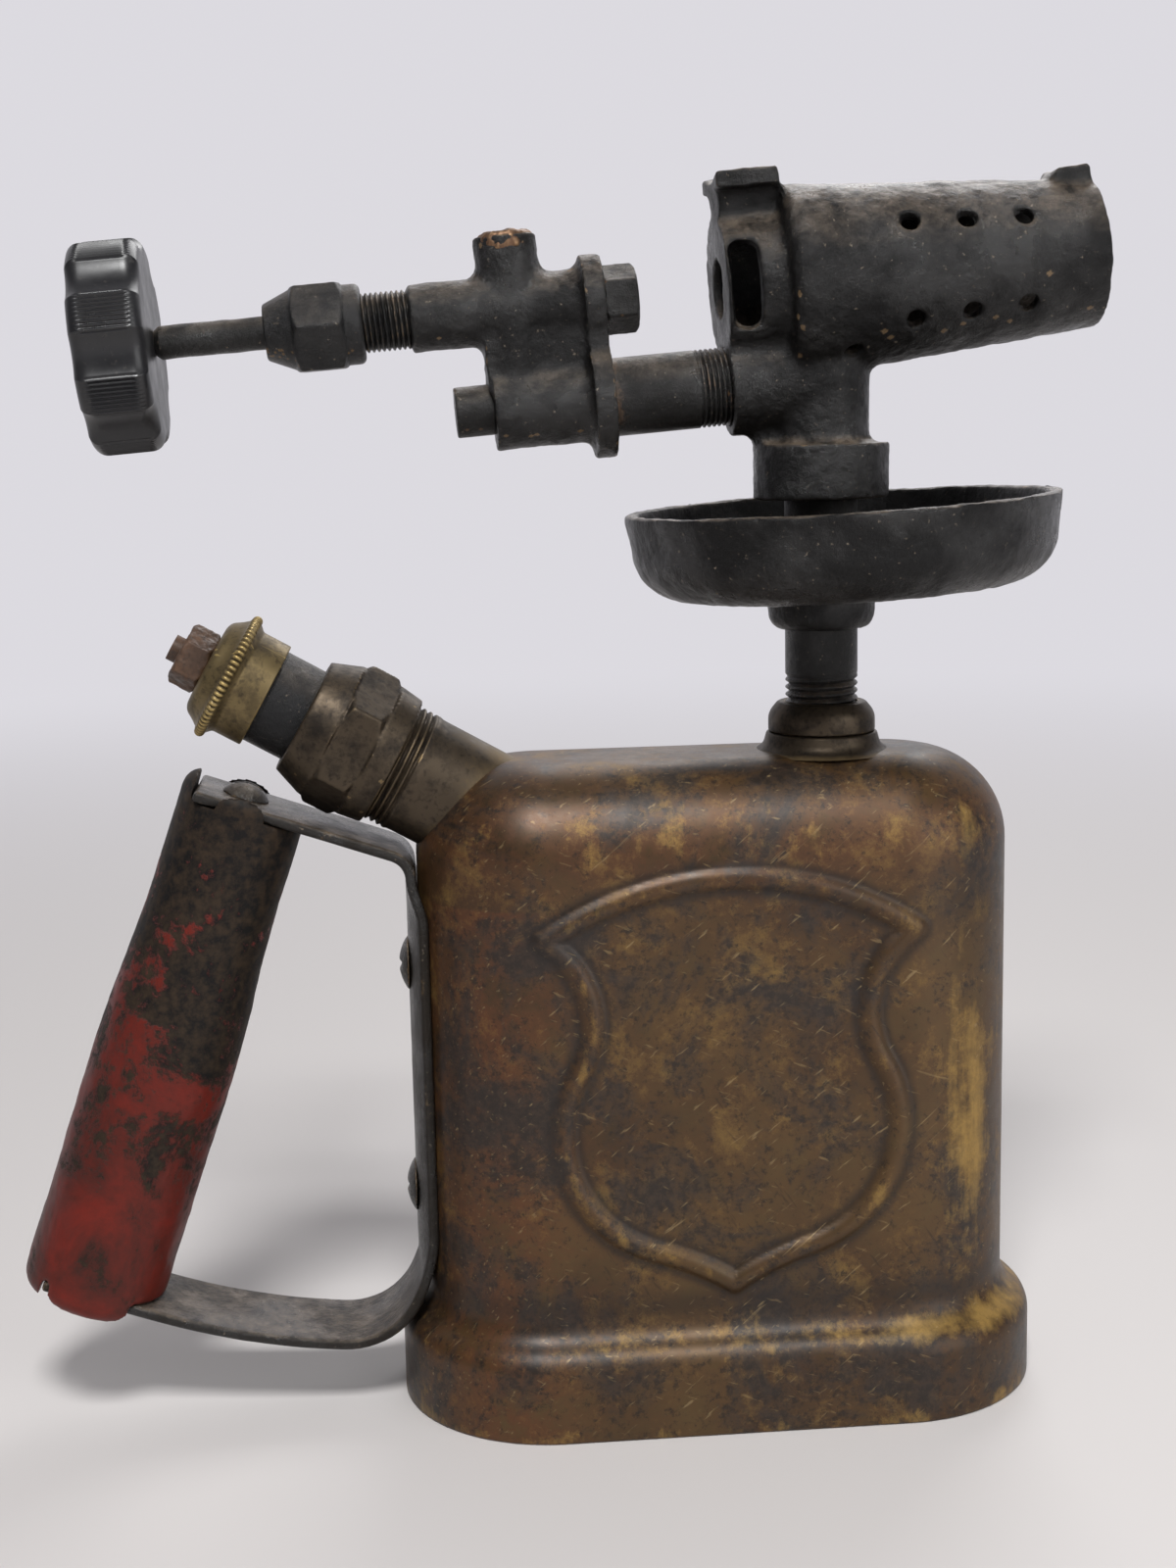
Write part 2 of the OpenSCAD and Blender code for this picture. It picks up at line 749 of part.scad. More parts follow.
// Outline of the shield, set out from the bead's middle line by w
function shield_side(w) = concat([[0, -w * shield_tip_miter]], [for (i = [0:2])
    each arc_between(shield_joints[i], shield_joints[i + 1], shield_swell[i], w)],
    [shield_corner + w * shield_corner_miter]);

function shield_outline(w) = let (side = shield_side(w), corner = shield_corner) concat(side,
    arc_between(corner, [-corner[0], corner[1]], shield_crown, w),
    [for (i = [len(side) - 1:-1:1]) [-side[i][0], side[i][1]]]);

module bead_layer(half_w, rise) {
    translate([0, -tank_r + tank_wall / 2, shield_tip_z]) rotate([90, 0, 0])
        linear_extrude(tank_wall / 2 + rise) difference() {
            polygon(shield_outline(half_w));
            polygon(shield_outline(-half_w));
        }
}

module shield_bead() {
    bead_layer(bead_w / 2, bead_h / 2);
    bead_layer(bead_w / 3, bead_h);
}

module strap_screw_frames() {
    for (z = strap_screw_z) translate([tank_end_x, 0, z]) rotate([0, -90, 0]) children();
}

module tank_shell() {
    color("#6b5136") difference() {
        union() {
            oval_sweep() tank_profile(0);
            shield_bead();
        }
        oval_sweep() tank_profile(tank_wall);
        translate([0, 0, -past]) oval_slab(skirt_in_r, 0, 2 * past);
        riser_frame() rod(outlet_spigot_r + fit, tank_h - 2 * tank_wall, tank_h + past);
        pump_frame() rod(socket_tube_r + fit, -socket_tube_l, pump_thread_show);
        strap_screw_frames() rod(strap_screw_d / 2 + fit, -2 * tank_wall, past);
    }
}

module oval_slab(r, z0, z1) {
    oval_sweep() translate([0, z0]) square([r, z1 - z0]);
}

module tank_bottom() {
    rim_r = skirt_in_r - fit;
    color("#5f4a33") difference() {
        oval_slab(rim_r, bottom_z - bottom_rim_h, bottom_z + bottom_t);
        oval_slab(rim_r - bottom_rim_t, bottom_z - bottom_rim_h - past, bottom_z);
        rod(filler_collar_r + fit, bottom_z - past, bottom_z + bottom_t + past);
    }
}

module filler_boss() {
    color("#7a6138") difference() {
        union() {
            rod(plug_head_d / 2, filler_flange_z, bottom_z);
            rod(filler_collar_r, bottom_z - eps, filler_gasket_z + plug_thread_l);
        }
        rod(plug_r + fit, filler_flange_z - past, filler_gasket_z + plug_thread_l + past);
    }
}

module filler_gasket() {
    color("#3b2f27") tube(plug_head_d / 2 - filler_gasket_inset, plug_r + fit,
        filler_gasket_z, filler_flange_z);
}

module filler_plug() {
    color("#7a6138") difference() {
        union() {
            rod(plug_head_d / 2, filler_gasket_z - plug_head_h, filler_gasket_z);
            rod(plug_r, filler_gasket_z - eps, filler_gasket_z + plug_thread_l);
        }
        translate([0, 0, filler_gasket_z - plug_head_h])
            cube([plug_head_d + past, plug_slot[0], 2 * plug_slot[1]], center = true);
    }
}

// Outlet, riser and tray

module outlet_boss() {
    color("#4a3c2b") riser_frame() difference() {
        union() {
            taper(outlet_d / 2, outlet_d / 2 - outlet_draft, tank_h, collar_z);
            rod(outlet_spigot_r, riser_foot_z, tank_h + eps);
        }
        rod(riser_d / 2 + fit, riser_foot_z - past, collar_z + past);
    }
}

module riser_collar() {
    color("#40362a") riser_frame() difference() {
        union() {
            rod(collar_d / 2, collar_z, collar_top_z - collar_round);
            round_disc(collar_d / 2, collar_z, collar_top_z, collar_round);
        }
        rod(riser_d / 2 + fit, collar_z - past, collar_top_z + past);
    }
}

module riser_pipe() {
    top = socket_top_z - socket_floor;
    color("#2b2824") riser_frame() difference() {
        union() {
            rod(riser_d / 2 - riser_thread_depth, riser_foot_z, collar_top_z);
            rod(riser_d / 2, riser_foot_z, collar_z);
            thread(riser_d / 2, riser_thread_depth, riser_pitch, collar_z, collar_top_z + riser_thread_l);
            rod(riser_d / 2, collar_top_z + riser_thread_l, top);
        }
        rod(riser_bore / 2, riser_foot_z - past, top + past);
    }
}

module fuel_tube() {
    color("#8a6d45") riser_frame()
        tube(fuel_tube_r, fuel_tube_r - fuel_tube_wall, fuel_tube_foot_z, fuel_tube_top_z);
}

// Half section of the tray's bowl, standing on z = 0, drawn in by inset and open to top
module bowl_profile(inset, top) {
    r = tray_d / 2 - tray_flare - inset;
    edge = tray_edge_r - inset;
    translate([0, inset]) square([r - edge, edge + eps]);
    polygon([[0, tray_edge_r], [r, tray_edge_r], [r + tray_flare, tray_h], [r + tray_flare, top], [0, top]]);
    translate([r - edge, tray_edge_r]) intersection() {
        circle(edge);
        translate([0, -edge]) square(edge);
    }
}

module tray_bowl() {
    translate([tray_ahead, 0, tray_z]) rotate([0, -tray_lean, 0]) rotate_extrude() difference() {
        bowl_profile(0, tray_h);
        bowl_profile(tray_wall, tray_h + past);
    }
}

module priming_tray() {
    color("#1d1c1b") riser_frame() difference() {
        union() {
            tray_bowl();
            rod(tray_hub_d / 2, hub_z + hub_round, tray_z + tray_hub_in_h);
            round_disc(tray_hub_d / 2, hub_z, hub_z + tray_hub_h + hub_round, hub_round);
        }
        rod(riser_d / 2 + fit, hub_z - past, tray_rim_z);
    }
}

// Burner

function barrel_r_at(d) = barrel_rear_r + (barrel_mouth_r - barrel_rear_r) * d / barrel_len;

// Tapered barrel with a round rear shoulder
module barrel_body() {
    edge = barrel_shoulder_r;
    r = barrel_r_at(edge);
    translate([0, 0, shoulder_x]) rotate_extrude() {
        polygon([[0, edge], [r, edge], [barrel_mouth_r, barrel_len], [0, barrel_len]]);
        square([r - edge, edge + eps]);
        translate([r - edge, edge]) intersection() {
            circle(edge);
            translate([0, -edge]) square(edge);
        }
    }
}

// Iron rest with a saddle on top, its near end at x
module iron_rest(x, size, lip_over) {
    lip_z = size[2] - rest_lip;
    difference() {
        union() {
            translate([x, -rest_stem_w / 2, 0]) cube([size[0], rest_stem_w, lip_z + eps]);
            translate([x - lip_over, -size[1] / 2, lip_z]) cube([size[0] + 2 * lip_over, size[1], rest_lip]);
        }
        translate([x - past, 0, size[2] + rest_saddle_r - rest_lip / 2]) rotate([0, 90, 0])
            rod(rest_saddle_r, -lip_over, size[0] + lip_over + 2 * past);
    }
}

module air_hole(angle, d) {
    rotate([0, 0, angle]) translate([0, 0, shoulder_x + d]) rotate([90, 0, 0])
        rod(air_hole_d / 2, 0, barrel_rear_d);
}

// The same hole through the near and the far side
module air_hole_pair(angle, d) {
    air_hole(angle, d);
    air_hole(180 - angle, d);
}

// In the barrel's frame local Y runs to the back and local X points down
module air_holes() {
    for (row = [-air_hole_angle, air_hole_low_angle], i = [0:2])
        air_hole_pair(row, air_hole_start + i * air_hole_step);
    air_hole_pair(low_hole_angle, low_hole_start);
}

module barrel_cavity() {
    open_x = shoulder_x + barrel_shoulder_r;
    taper(barrel_r_at(barrel_shoulder_r) - barrel_wall, barrel_mouth_r - barrel_wall, open_x, mouth_x);
    rod(barrel_mouth_r - barrel_wall, mouth_x - eps, mouth_x + past);
    rod(chamber_r, back_x + ring_plate_t, open_x + eps);
    rod(jet_hole_d / 2, back_x - past, back_x + ring_plate_t + past);
}

module burner_casting() {
    color("#201f1e") difference() {
        union() {
            riser_frame() rod(socket_d / 2, socket_z, socket_top_z);
            riser_frame() rod(neck_d / 2, socket_top_z - eps, head_z - barrel_rear_r + barrel_wall);
            pipe_frame() rod(vapor_boss_d / 2, back_x, 0);
            barrel_frame() barrel_body();
            barrel_frame() rod(ring_r, back_x, shoulder_x + barrel_shoulder_r);
            burner_frame() iron_rest(back_x + rest_overhang, rear_rest, rest_overhang);
            burner_frame() iron_rest(mouth_x - front_rest[0] - front_rest_back, front_rest, 0);
        }
        barrel_frame() barrel_cavity();
        barrel_frame() air_holes();
        burner_frame() translate([back_x + window_start, 0, 0]) air_window();
        riser_frame() rod(riser_d / 2 + fit, socket_z - past, socket_top_z - socket_floor);
        riser_frame() rod(passage_r, socket_z, head_z - pipe_drop);
        pipe_frame() rod(passage_r, back_x, past);
        pipe_frame() rod(pipe_d / 2 + fit, -pipe_depth, past);
    }
}

module air_window() {
    translate([window_size[0] / 2, -ring_r, 0])
        cube([window_size[0], ring_r, window_size[1]], center = true);
}

// Vapour pipe and valve block

module vapor_pipe() {
    body_end = flange_at;
    color("#262320") pipe_frame() difference() {
        union() {
            thread(pipe_d / 2, fine_depth, fine_pitch, -pipe_depth, pipe_thread_l);
            rod(pipe_d / 2, pipe_thread_l - eps, body_end);
            rod(pipe_spigot_r, body_end - eps, body_end + pipe_spigot_l);
        }
        rod(pipe_bore / 2, -pipe_depth - past, body_end + pipe_spigot_l + past);
    }
}

// In the valve's frame local X is up
module valve_block() {
    low_end = block_at + block_low_len;
    web_l = top_boss_at + top_boss_d / 2;
    waist_w = flange_jet_d - 2 * flange_waist_inset;
    boss_z = block_at + top_boss_at;
    color("#22201e") difference() {
        valve_frame() union() {
            rod(flange_jet_d / 2, flange_at, block_at);
            translate([-pipe_drop, 0, 0]) rod(flange_pipe_d / 2, flange_at, block_at);
            translate([-pipe_drop, -waist_w / 2, flange_at]) cube([pipe_drop, waist_w, flange_t]);
            rod(block_d / 2, block_at - eps, nose_at);
            rod(nose_r - fine_depth, nose_at - eps, gland_at);
            thread(nose_r, fine_depth, fine_pitch, nose_at, nose_end);
            translate([-pipe_drop, 0, 0]) rod(block_low_d / 2, block_at - eps, low_end);
            translate([-pipe_drop, -block_web_w / 2, block_at - eps]) cube([pipe_drop, block_web_w, web_l]);
            translate([0, 0, boss_z]) rotate([0, 90, 0]) rod(top_boss_d / 2, -pipe_drop, top_boss_h);
        }
        valve_frame() {
            rod(stem_r + fit, block_at, nose_end + past);
            rod(jet_shank_r + fit, flange_at - past, flange_at + jet_shank_l + fit);
            rod(stem_r + chamber_gap, flange_at + jet_shank_l, flange_at + chamber_l);
            translate([0, 0, boss_z]) rotate([0, 90, 0])
                rod(cross_bore_r, -pipe_drop, top_boss_h + past);
            translate([0, 0, boss_z]) rotate([0, 90, 0])
                rod(top_plug_r + fit, top_boss_h - top_plug_l, top_boss_h + past);
        }
        pipe_frame() {
            rod(pipe_spigot_r + fit, flange_at - past, flange_at + pipe_spigot_l + fit);
            rod(low_plug_shank_r + fit, flange_at, low_end + past);
            rod(low_plug_r + low_plug_spot_gap, low_end, low_end + low_plug_l);
        }
    }
}

module block_plug_lower() {
    seat = block_at + block_low_len;
    color("#26221e") pipe_frame() {
        rod(low_plug_r, seat, seat + low_plug_l);
        rod(low_plug_shank_r, seat - low_plug_shank_l, seat + eps);
    }
}

module block_plug_top() {
    color("#6b4a30") valve_frame() translate([0, 0, block_at + top_boss_at]) rotate([0, 90, 0]) {
        rod(top_plug_r, top_boss_h - top_plug_l + fit, top_boss_h);
        translate([0, 0, top_boss_h - eps]) dome(top_plug_r, top_plug_rise);
    }
}

module jet() {
    tip = flange_at - jet_len;
    color("#2c2823") valve_frame() difference() {
        union() {
            hex_turned(jet_af, tip, flange_at);
            rod(jet_shank_r, flange_at - eps, flange_at + jet_shank_l);
        }
        rod(jet_orifice_r, tip - past, flange_at);
        rod(jet_bore_r, tip + jet_tip_t, flange_at + jet_shank_l + past);
    }
}

module packing_nut() {
    collar_r = gland_af / 2 - gland_collar_inset;
    shoulder_r = gland_af / 2 - gland_shoulder_inset;
    neck_r = stem_r + gland_neck_wall;
    chamber = gland_nose_at + gland_nose_l / 3;
    color("#3a332a") valve_frame() rotate([0, 0, hex_half]) difference() {
        union() {
            round_disc(collar_r, gland_at, gland_hex_at + gland_round, gland_round);
            hex_turned(gland_af, gland_hex_at, gland_nose_at);
            taper(shoulder_r, neck_r, gland_nose_at - eps, gland_end);
        }
        rod(nose_r + fit, gland_at - past, nose_end + fit);
        rod(packing_r, nose_end, chamber);
        rod(stem_r + fit, gland_hex_at, gland_end + past);
    }
}

module packing_gland() {
    color("#8a7448") valve_frame()
        tube(packing_r - fit, stem_r + fit, nose_end + fit, nose_end + packing_gland_t);
}

module packing_ring() {
    foot = nose_end + packing_gland_t;
    color("#2e2e2e") valve_frame() tube(packing_r - fit, stem_r + fit, foot, foot + packing_t);
}

module valve_stem() {
    needle_at = flange_at + jet_shank_l + needle_gap;
    root_at = needle_at + needle_l - needle_root_l;
    thread_at = flange_at + chamber_l;
    step_at = knob_end - knob_recess - knob_washer_t;
    color("#2a2622") valve_frame() {
        rod(stem_r, nose_at - eps, knob_at);
        thread(stem_r, stem_thread_depth, stem_pitch, thread_at, nose_at);
        rod(stem_r, needle_at + needle_l, thread_at + eps);
        taper(needle_root_r, stem_r, root_at, needle_at + needle_l + eps);
        taper(needle_tip_r, needle_root_r, needle_at, root_at + eps);
        rod(stem_r - stem_step, knob_at - eps, step_at + knob_washer_t + knob_nut_t);
    }
}

module control_knob() {
    web = knob_end - knob_recess - knob_washer_t;
    color("#141414") valve_frame() rotate([0, 0, knob_phase]) difference() {
        round_disc(knob_d / 2, knob_at + fit, knob_end, knob_edge_r);
        for (i = [0:knob_lobes - 1]) rotate([0, 0, (i + 0.5) * 360 / knob_lobes])
            translate([knob_d / 2 + knob_flute_r - knob_flute, 0, 0])
                rod(knob_flute_r, knob_at - past, knob_end + past);
        rod(knob_recess_r, web, knob_end + past);
        rod(stem_r - stem_step + fit, knob_at - past, knob_end);
    }
}

module knob_washer() {
    foot = knob_end - knob_recess - knob_washer_t;
    color("#4b463f") valve_frame() tube(knob_washer_r, stem_r - stem_step + fit, foot, foot + knob_washer_t);
}

module knob_nut() {
    foot = knob_end - knob_recess;
    color("#4b463f") valve_frame() difference() {
        hex_turned(knob_nut_af, foot, foot + knob_nut_t);
        rod(stem_r - stem_step + fit, foot - past, foot + knob_nut_t + past);
    }
}

// Pump

module pump_socket() {
    color("#54432f") pump_frame() difference() {
        union() {
            rod(socket_tube_r, -socket_tube_l, eps);
            thread(pump_thread_r, pump_thread_depth, pump_pitch, 0, socket_tube_end);
        }
        rod(socket_tube_r - socket_tube_wall, -socket_tube_l - past, socket_tube_end + past);
    }
}

module pump_gasket() {
    color("#3b2f27") pump_frame()
        tube(pump_flange_r, pump_ro + fit, socket_tube_end, socket_tube_end + pump_gasket_t);
}

module pump_barrel() {
    color("#8a6d45") pump_frame() difference() {
        union() {
            rod(pump_ro, -pump_depth, barrel_top);
            rod(pump_flange_r, barrel_top - pump_flange_t, barrel_top);
        }
        rod(pump_r, -pump_depth - past, barrel_top + past);
    }
}

module pump_guide() {
    color("#29251f") pump_frame() difference() {
        union() {
            rod(pump_flange_r, barrel_top, nut_floor);
            rod(guide_r, nut_floor - eps, guide_end);
        }
        rod(pump_r, barrel_top - past, guide_end - guide_end_t);
        rod(rod_r + run_gap, guide_end - guide_end_t - past, guide_end + past);
    }
}

module pump_cap_nut() {
    color("#4d4130") pump_frame() difference() {
        union() {
            taper(nut_round_r - nut_foot_inset, nut_round_r, pump_thread_show, nut_hex_at + eps);
            hex_turned(pump_nut_af, nut_hex_at, nut_taper_at);
            taper(nut_round_r, nut_mouth_r, nut_taper_at - eps, nut_end);
        }
        rod(pump_thread_r + fit, pump_thread_show - past, nut_floor);
        rod(guide_r + fit, nut_floor - past, nut_end + past);
    }
}

module plunger_cap() {
    color("#8d7440") pump_frame() difference() {
        union() {
            rod(cap_d / 2, cap_at, cap_flange_at);
            round_disc(cap_flange_d / 2, cap_flange_at, cap_crown_at, cap_flange_t / 2 - eps);
            taper(cap_d / 2 + cap_crown_foot, cap_crown_d / 2, cap_crown_at - eps, cap_top);
        }
        rod(cap_bore_r, cap_at - past, cap_in_z);
        rod(rod_r + fit, cap_in_z - past, cap_top + past);
    }
}

module plunger_rod() {
    color("#5b4a3a") pump_frame() rod(rod_r, leather_low + rod_foot_gap, rod_end);
}

module plunger_nut() {
    color("#5a3825") pump_frame() difference() {
        hex_turned(rod_nut_af, cap_top, cap_top + rod_nut_t);
        rod(rod_r + fit, cap_top - past, cap_top + rod_nut_t + past);
    }
}

module piston_washer() {
    color("#8a7448") pump_frame()
        tube(leather_r - piston_washer_inset, rod_r + fit, leather_top, leather_top + piston_washer_t);
}

module pump_leather() {
    color("#6b4a2c") pump_frame() difference() {
        rod(leather_r, leather_low, leather_top);
        rod(leather_r - leather_t, leather_low - past, leather_top - leather_t);
        rod(rod_r + fit, leather_low, leather_top + past);
    }
}

module piston_follower() {
    seat = leather_top - leather_t;
    color("#8a7448") pump_frame() tube(leather_r - leather_t - fit, rod_r + fit, seat - follower_t, seat);
}

module piston_nut() {
    seat = leather_top - leather_t - follower_t;
    color("#6e6a63") pump_frame() difference() {
        hex_bar(piston_nut_af, seat - piston_nut_t, seat);
        rod(rod_r + fit, seat - piston_nut_t - past, seat + past);
    }
}

module check_valve_seat() {
    color("#8a7448") pump_frame() difference() {
        union() {
            rod(pump_ro, foot_at, -pump_depth);
            rod(pump_r - fit, -pump_depth - eps, foot_top);
        }
        rod(foot_hole_d / 2, foot_at - past, foot_top + past);
    }
}

module check_valve_disc() {
    color("#3b2f27") pump_frame() rod(foot_disc_r, foot_at - foot_disc_t - fit, foot_at - fit);
}

module check_valve_spring() {
    per_turn = 8;
    sides = 6;
    rise = spring_top - spring_low - foot_wire_d;
    count = foot_turns * per_turn;
    foot = spring_low + spring_wire_r;
    rings = [for (i = [0:count]) let (turn = 360 * i / per_turn, z = foot + rise * i / count)
        [for (j = [0:sides - 1]) let (a = -360 * j / sides, d = spring_r + spring_wire_r * cos(a))
            [d * cos(turn), d * sin(turn), z + spring_wire_r * sin(a)]]];
    echo(spring_gap = rise / foot_turns - foot_wire_d);
    color("#9a958c") pump_frame() skin(rings);
}

module check_valve_cage() {
    color("#8a7448") pump_frame() difference() {
        rod(foot_cage_ri + foot_cage_wall, foot_cage_end, foot_at);
        rod(foot_cage_ri, foot_cage_end + foot_cage_end_t, foot_at + past);
        rod(foot_hole_d / 2, foot_cage_end - past, foot_at);
    }
}

// Handle

function ease(t) = let (c = max(0, min(1, t))) c * c * (3 - 2 * c);

// Points after the first on an arc that leaves p at heading a0 and ends at heading a1
function arc_from(p, a0, a1, r, n) = let (turn = sign(a1 - a0)) [for (i = [1:n])
    let (a = a0 + (a1 - a0) * i / n) p + turn * r * [sin(a) - sin(a0), cos(a0) - cos(a)]];

function last(list) = list[len(list) - 1];

// Length that is left for the strap's lower arm when it ends at that slope
function sag_span(slope) = strap_x - strap_low_r * (1 + sin(slope)) - strap_low_start[0];

// Height at which the strap's lower bend then ends
function low_bend_end(slope) = strap_low_start[1] + strap_low_r * cos(slope)
    - sag_span(slope) * tan((grip_lean + slope) / 2);

// Slope between two others at which the lower bend ends at its height, found by halving n times
function slope_between(a, b, n) = let (mid = (a + b) / 2) n == 0 ? mid :
    low_bend_end(mid) > strap_low_z ? slope_between(mid, b, n - 1) : slope_between(a, mid, n - 1);

strap_sag = arc_from(strap_low_start, -grip_lean, -strap_low_slope, strap_sag_r, 6);
strap_bend = arc_from(last(strap_sag), -strap_low_slope, 90, strap_low_r, 10);
strap_top_x = strap_x - strap_top_r * (1 - sin(grip_lean));
strap_top_z = arm_z - (strap_top_x - arm_x) * tan(grip_lean) - strap_top_r * cos(grip_lean);
strap_run = [for (i = [1:16]) [strap_x, strap_low_z + (strap_top_z - strap_low_z) * i / 16]];
strap_turn = arc_from([strap_x, strap_top_z], 90, 180 - grip_lean, strap_top_r, 6);
strap_path = concat([strap_low_pin - strap_end_l * arm_axis, strap_low_start], strap_sag, strap_bend,
    strap_run, strap_turn, [[arm_x, arm_z] - strap_end_l * arm_axis]);

// How far the strap is bowed to the round of the tank's end at a point of its path, from 0 to 1
function strap_bow(p) = ease((p[1] - strap_low_z) / bow_low_l + 0.5) * ease((strap_top_z - p[1]) / bow_top_l)
    * ease((p[0] - strap_x) / strap_low_r + 1);

// One section across the strap, square to its path
function strap_ring(i) = let (p = strap_path[i],
    ahead = strap_path[min(i + 1, len(strap_path) - 1)] - strap_path[max(i - 1, 0)],
    side = strap_t / 2 * [-ahead[1], ahead[0]] / norm(ahead),
    across = [for (k = [-bow_steps:bow_steps]) k * strap_w / 2 / bow_steps],
    left = [for (y = across) strap_point(p + side, y, strap_bow(p))],
    right = [for (k = [len(across) - 1:-1:0]) strap_point(p - side, across[k], strap_bow(p))])
    concat(left, right);

function strap_point(p, y, bow) = [p[0] + bow * (tank_r - sqrt(tank_r * tank_r - y * y)), y, p[1]];

module handle_strap() {
    color("#57534a") difference() {
        skin([for (i = [0:len(strap_path) - 1]) strap_ring(i)]);
        grip_frame() rod(bolt_d / 2 + fit, -past, grip_len + past);
        strap_screw_frames() rod(strap_screw_d / 2 + fit, -past, strap_t + 2 * past);
    }
}

module strap_screws() {
    seat = strap_gap + strap_t + fit;
    color("#4a463f") strap_screw_frames() {
        rod(strap_screw_d / 2, -tank_wall - strap_boss_t, seat + eps);
        translate([0, 0, seat]) difference() {
            dome(strap_head_d / 2, strap_head_h);
            translate([0, 0, strap_head_h])
                cube([2 * strap_slot[1], strap_head_d, strap_slot[0]] + [0, past, 0], center = true);
        }
    }
}

module strap_bosses() {
    color("#7a6138") intersection() {
        difference() {
            strap_screw_frames() rod(strap_boss_r, -tank_wall - strap_boss_t, 0);
            strap_screw_frames() rod(strap_screw_d / 2 + fit, -tank_wall - strap_boss_t - past, past);
        }
        translate([-end_x, 0, 0]) rod(tank_r - tank_wall - fit, 0, tank_h);
    }
}

// How far the grip has drawn in from its belly to its waist, from 0 to 1
function grip_swell(t) = ease((t - grip_waist_from) / grip_waist_over);

// Radius of the grip at the share t of its length, from its lower end
function grip_r(t) = (grip_belly_d + (grip_waist_d - grip_belly_d) * grip_swell(t)) / 2;

module handle_grip() {
    arc = [for (i = [0:4]) 90 * i / 4];
    low_edge = [for (a = arc) [grip_r(0) - grip_end_r + grip_end_r * sin(a), grip_end_r * (1 - cos(a))]];
    top_edge = [for (a = arc)
        [grip_r(1) - grip_end_r + grip_end_r * cos(a), grip_len - grip_end_r * (1 - sin(a))]];
    side = [for (i = [1:grip_steps - 1]) let (z = grip_end_r + (grip_len - 2 * grip_end_r) * i / grip_steps)
        [grip_r(z / grip_len), z]];
    slot_w = strap_w + 2 * slot_clear;
    slot_l = strap_end_l + slot_clear;
    slot_h = strap_t / 2 + fit;
    color("#8a2420") grip_frame() difference() {
        rotate_extrude() polygon(concat([[0, 0]], low_edge, side, top_edge, [[0, grip_len]]));
        translate([-slot_l, -slot_w / 2, grip_len - grip_inset_top - slot_h])
            cube([slot_l + grip_belly_d, slot_w, grip_inset_top + slot_h + past]);
        translate([-slot_l, -slot_w / 2, -past])
            cube([slot_l + grip_belly_d, slot_w, grip_inset_low + slot_h + past]);
        rod(bolt_d / 2 + fit, -past, grip_len + past);
    }
}

module grip_bolt() {
    head = grip_len - grip_inset_top + strap_t / 2 + fit;
    foot = grip_inset_low - strap_t / 2 - fit - grip_nut_t;
    color("#3f3a33") grip_frame() {
        rod(bolt_d / 2, foot - past, head + eps);
        translate([0, 0, head]) difference() {
            dome(bolt_head_d / 2, bolt_head_h);
            translate([0, 0, bolt_head_h])
                cube([bolt_head_d + past, bolt_slot[0], 2 * bolt_slot[1]], center = true);
        }
    }
}

module grip_nut() {
    top = grip_inset_low - strap_t / 2 - fit;
    color("#4a463f") grip_frame() difference() {
        hex_turned(grip_nut_af, top - grip_nut_t, top);
        rod(bolt_d / 2 + fit, top - grip_nut_t - past, top + past);
    }
}

tank_shell();
tank_bottom();
filler_boss();
filler_gasket();
filler_plug();
outlet_boss();
riser_collar();
riser_pipe();
fuel_tube();
priming_tray();
burner_casting();
vapor_pipe();
valve_block();
block_plug_lower();
block_plug_top();
jet();
packing_nut();
packing_ring();
packing_gland();
valve_stem();
control_knob();
knob_washer();
knob_nut();
pump_socket();
pump_gasket();
pump_barrel();
pump_guide();
pump_cap_nut();
plunger_cap();
plunger_rod();
plunger_nut();
piston_washer();
pump_leather();
piston_follower();
piston_nut();
check_valve_seat();
check_valve_disc();
check_valve_spring();
check_valve_cage();
handle_strap();
strap_screws();
strap_bosses();
handle_grip();
grip_bolt();
grip_nut();
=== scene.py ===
# Gasoline blowtorch: tarnished brass tank, slanted hand pump, black cast burner and needle valve.
import json
import math

import bpy
import numpy as np
from mathutils import Matrix, Vector


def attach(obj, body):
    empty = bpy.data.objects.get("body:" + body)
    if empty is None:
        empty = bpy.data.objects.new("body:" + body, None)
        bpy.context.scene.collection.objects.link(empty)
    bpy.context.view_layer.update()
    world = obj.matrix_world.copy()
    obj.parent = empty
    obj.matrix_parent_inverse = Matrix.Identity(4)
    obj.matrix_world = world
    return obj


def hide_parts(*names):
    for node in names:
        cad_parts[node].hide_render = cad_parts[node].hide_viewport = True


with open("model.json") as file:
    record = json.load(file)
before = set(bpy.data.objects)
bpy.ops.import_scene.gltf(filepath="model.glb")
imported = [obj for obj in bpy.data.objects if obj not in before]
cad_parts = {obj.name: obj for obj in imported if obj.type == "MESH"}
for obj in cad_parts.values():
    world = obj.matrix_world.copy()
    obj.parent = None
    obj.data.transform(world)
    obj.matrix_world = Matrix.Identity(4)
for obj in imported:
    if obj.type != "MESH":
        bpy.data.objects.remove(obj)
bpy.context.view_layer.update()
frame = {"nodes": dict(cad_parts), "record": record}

MM = 0.001
WELD = 1e-6
ROWS_A_TURN = 8

# Sizes in millimetres, angles in degrees. The origin is the middle of the tank's base,
# and +X points to the burner's mouth.
TANK_HALF = 32.6
TANK_R = 24
TANK_H = 125
TANK_WALL = 1.2
TOP_EDGE_R = 17.5
SKIRT_R = 29.5
SKIRT_H = 12.5
SKIRT_SLOPE_H = 10
SHIELD_TIP_Z = 27.8
SHIELD_JOINTS = [(0, 0), (15, 6.9), (28.5, 41.2), (34.3, 66.7)]
SHIELD_SWELLS = [-0.6, 8.6, -5.5]
SHIELD_CROWN = 10.6
BEAD_HALF_W = 2.3
BEAD_H = 1.2
BEAD_POWER = 1.1

